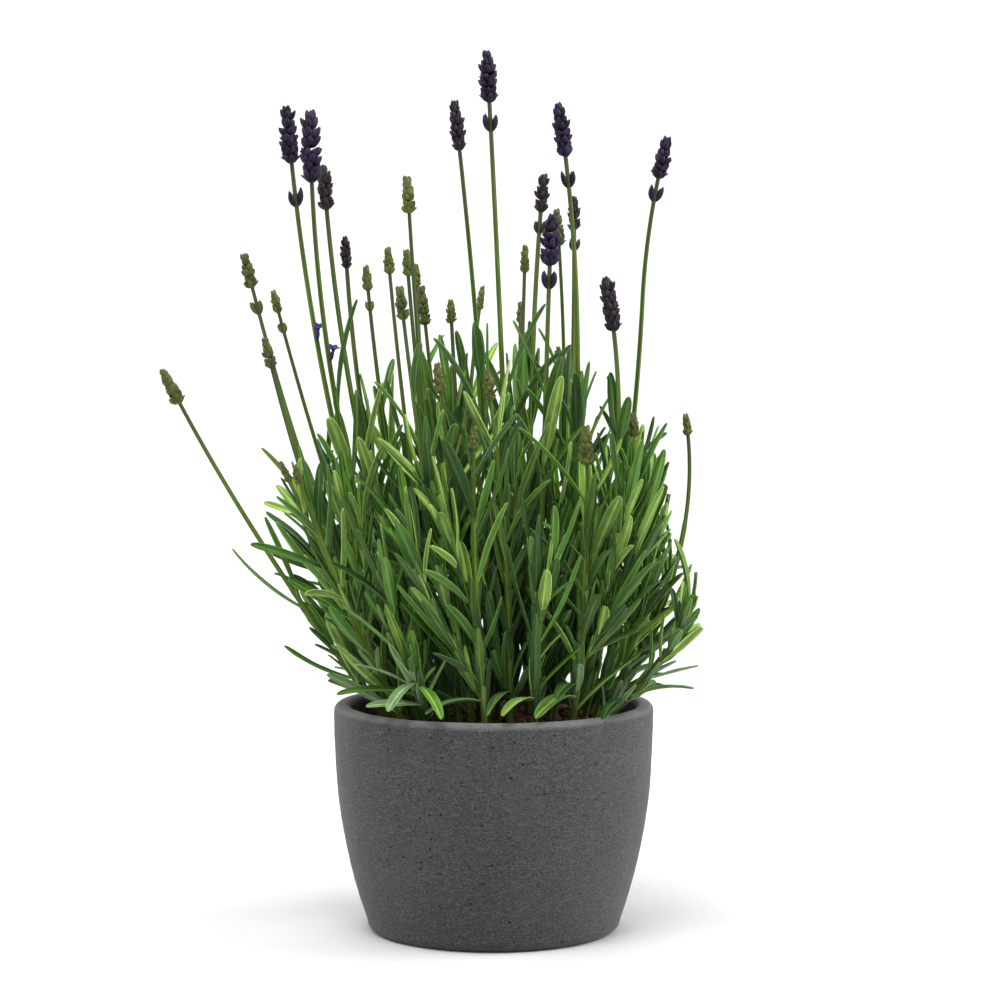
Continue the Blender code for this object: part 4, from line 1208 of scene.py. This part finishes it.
def leaf_tone(leaf, rng):
    """(how bright, how yellow, how grey): low leaves are greyer, and those deep in the bush are darker, as
    painted shade and partly as older leaves.
    """
    height = leaf.at(0.6).z
    low = clamp((150 * MM - height) / (50 * MM))
    outwards = math.hypot(leaf.start.x, leaf.start.y) / (60 * MM)
    # deep darkens the leaves near the middle of the bush and below its top: painted shade, partly older
    # leaves.
    deep = min(1.0, 1.3 * max(0.0, 1 - outwards) * clamp((230 * MM - height) / (80 * MM)))
    bright = rng.random() ** 1.5 * (0.85 if height < 150 * MM else 1.0) * (1 - 0.85 * deep)
    yellow = rng.random() ** 1.9 * (1 - 0.8 * deep)
    grey = clamp(rng.random() * 0.55 + 0.5 * low * rng.random()) * (1 - deep)
    if low > 0.5 and deep < 0.2 and rng.random() < 0.4:
        grey, yellow = 0.9, 0.1
    return bright, yellow, grey


def make_shoot(shoot, looks, rng):
    stems, leaves, calyces, bracts = Skin(), Skin(), Skin(), Skin()
    leafy = shoot.name.startswith("leafy")
    coloured = shoot.axes[0]["kind"] == "coloured"
    for number, axis in enumerate(shoot.axes):
        stem, head, kind = axis["stem"], axis["head"], axis["kind"]
        thick, thin = STEM_RADII["leafy" if leafy and kind != "twig" else kind]
        thick *= 0.85 if number and kind != "twig" else 1
        nodes = [] if number else sorted({round((leaf.start - stem.base).length, 4) for leaf in shoot.leaves})
        first = 0.0 if number else -STEM_IN_SOIL / stem.length
        last = 1 - (0.6 * head[0] / stem.length if head else 0.002)
        tone = (rng.random(), rng.random(), 0.25 if leafy else 0.85)
        skin_stem(stems, stem, first, last, thick, thin, shoot.twist, nodes, tone)
        if head:
            length, radius = head
            green = kind != "coloured"
            ripe = (0.1 if shoot.name in DULL_BUDS else 0.7) if green else RIPENESS[shoot.name[-2:]]
            skin_head(calyces, bracts, stem, 1 - length / stem.length, 1.0, radius, green, ripe, rng)
            if axis["gap"] is not None:
                skin_lower_whorl(calyces, bracts, stem, axis["neck"], radius, ripe, rng)
    for leaf in shoot.leaves:
        tone = leaf_tone(leaf, rng)
        twist, channel, wave = rng.uniform(-0.7, 0.7), rng.uniform(0.15, 0.6), rng.uniform(-0.05, 0.05)
        skin_leaf(leaves, leaf, tone, twist, channel, wave)
    stems.piece(shoot.name + "_stems", looks["stem"], "leaf_green" if leafy else "stalk_green", (shoot.name,))
    if shoot.leaves:
        leaves.piece(shoot.name + "_leaves", looks["leaf"], "leaf_green")
    if calyces.count:
        name = shoot.name.replace("stalk", "spike") if coloured else shoot.name
        colour, slot = ("purple", "spike_purple") if coloured else ("green", "stalk_green")
        calyces.piece(name + "_calyces", looks[colour + "_calyx"], slot, (name,) if coloured else ())
        bracts.piece(name + "_bracts", looks[colour + "_bract"], slot)


def bisect(rising, wanted):
    """Where between 0 and 1 a rising function reaches a value."""
    low, high = 0.0, 1.0
    for _ in range(30):
        middle = (low + high) / 2
        low, high = (middle, high) if rising(middle) < wanted else (low, middle)
    return low


def plant_looks():
    purple_calyx = ((0.017, 0.018, 0.007), (0.005, 0.0025, 0.01), (0.027, 0.012, 0.06),
                    (0.06, 0.04, 0.095), (0.034, 0.026, 0.016))
    purple_bract = (0.022, 0.015, 0.016), (0.035, 0.02, 0.02), (0.012, 0.006, 0.016)
    green_calyx = ((0.15, 0.19, 0.03), (0.11, 0.14, 0.024), (0.028, 0.025, 0.014),
                   (0.24, 0.28, 0.08), (0.045, 0.05, 0.02))
    green_bract = (0.13, 0.17, 0.03), (0.03, 0.024, 0.014), (0.055, 0.08, 0.014)
    return {
        "stem": stem_material("square_stem", (0.012, 0.04, 0.004), (0.18, 0.265, 0.045),
                              (0.055, 0.05, 0.022), (0.05, 0.052, 0.035)),
        "leaf": leaf_material("lavender_leaf", (0.003, 0.026, 0.001), (0.105, 0.28, 0.024),
                              (0.32, 0.51, 0.09), (0.2, 0.31, 0.15), (0.5, 0.68, 0.32)),
        "purple_calyx": calyx_material("purple_calyx", *purple_calyx),
        "purple_bract": bract_material("purple_bract", *purple_bract),
        "green_calyx": calyx_material("green_calyx", *green_calyx),
        "green_bract": bract_material("green_bract", *green_bract),
    }


def make_plant(shoots):
    looks, rng, petals = plant_looks(), random.Random(PLANT_SEED + 2), Skin()
    for shoot in shoots:
        make_shoot(shoot, looks, rng)
    stems = {shoot.name: shoot.axes[0]["stem"] for shoot in shoots}
    for name, height, right in OPEN_FLOWERS:
        stem = stems[name]
        t = bisect(lambda t, stem=stem: stem.at(t).z, height)
        heading, way = stem.heading(t), Vector((right, -1, 0))
        outward = (way - heading * heading.dot(way)).normalized()
        lean = heading * FLOWER_ALONG + outward * FLOWER_OUT
        out = outward * FLOWER_ALONG - heading * FLOWER_OUT
        skin_corolla(petals, stem.at(t) + outward * (0.8 * MM), lean, out, FLOWER_SIZE, rng)
    violet = calyx_material("violet_petal", (0.03, 0.012, 0.08), (0.03, 0.012, 0.11), (0.05, 0.022, 0.19),
                            (0.1, 0.06, 0.27), (0.03, 0.012, 0.11))
    petals.piece("open_flowers", violet, "spike_purple")


# ======== floor, light and camera ========

# Name, place, what it points at, size and power, in metres and watts.
LIGHTS = (
    ("left", (-1.6, 0.25, 1.3), (0, 0, 0.2), 1.7, 22),
    ("right", (1.6, 0.0, 1.0), (0, 0, 0.15), 1.2, 37),
    ("front", (-0.3, -1.6, 1.3), (0, 0, 0.2), 1.3, 6),
    ("top", (-0.2, -0.75, 2.1), (0, 0, 0.2), 1.0, 40),
    ("backdrop", (0, 2.0, 2.4), (0, 3.0, 0.3), 2.0, 80),
)
WORLD_STRENGTH = 0.42
CAMERA_PLACE = (0.00278, -1.396, 0.292)
CAMERA_TILT = math.radians(85.78)
LENS, SENSOR_WIDTH = 115.3, 36
FLOOR_HALF_WIDTH = 6.0
SWEEP_START, SWEEP_RADIUS = 2.2, 1.2


def make_floor():
    """A plain white floor that sweeps up far behind the pot."""
    profile = [(y, 0.0) for y in (-6.0, -3.0, 0.0, SWEEP_START)]
    for angle in np.radians(np.linspace(10, 90, 9)):
        y = SWEEP_START + SWEEP_RADIUS * math.sin(angle)
        profile.append((y, SWEEP_RADIUS - SWEEP_RADIUS * math.cos(angle)))
    profile.append((SWEEP_START + SWEEP_RADIUS, 6.0))
    points = [(x, y, z) for y, z in profile for x in (-FLOOR_HALF_WIDTH, FLOOR_HALF_WIDTH)]
    faces = [(2 * i, 2 * i + 1, 2 * i + 3, 2 * i + 2) for i in range(len(profile) - 1)]
    n = Nodes("floor_white", 0.9, specular=0.0)
    white = n.finish(n.mix(n.noise(n.place(), 3.0), (0.56, 0.56, 0.56), (0.57, 0.57, 0.57)))
    add_object("floor", smooth_mesh("floor", points, faces, white))


def add_light(name, place, target, size, power):
    data = bpy.data.lights.new(name, "AREA")
    data.shape = "SQUARE"
    data.size, data.energy = size, power
    light = add_object(name, data)
    light.location = place
    light.rotation_euler = (Vector(target) - Vector(place)).to_track_quat("-Z", "Y").to_euler()


def make_studio():
    world = bpy.data.worlds.new("studio")
    world.use_nodes = True
    world.node_tree.nodes["Background"].inputs["Color"].default_value = (1, 1, 1, 1)
    world.node_tree.nodes["Background"].inputs["Strength"].default_value = WORLD_STRENGTH
    bpy.context.scene.world = world
    for light in LIGHTS:
        add_light(*light)
    camera = add_object("camera", bpy.data.cameras.new("camera"))
    camera.location = CAMERA_PLACE
    camera.rotation_euler = (CAMERA_TILT, 0, 0)
    camera.data.lens, camera.data.sensor_width = LENS, SENSOR_WIDTH
    bpy.context.scene.camera = camera
    bpy.context.scene.view_settings.view_transform = "Standard"


def main():
    shoots, thicket = layout()
    grow_extra(shoots, thicket)
    make_pot(pot_material())
    make_soil(soil_material("soil", (0.022, 0.010, 0.006), (0.05, 0.022, 0.012), (0.11, 0.045, 0.022)))
    make_crumbs(
        soil_material("soil_crumb", (0.03, 0.013, 0.008), (0.075, 0.032, 0.017), (0.15, 0.065, 0.032)),
        soil_material("soil_fibre", (0.09, 0.05, 0.028), (0.16, 0.09, 0.05), (0.25, 0.15, 0.08)),
    )
    make_plant(shoots)
    make_floor()
    make_studio()


main()
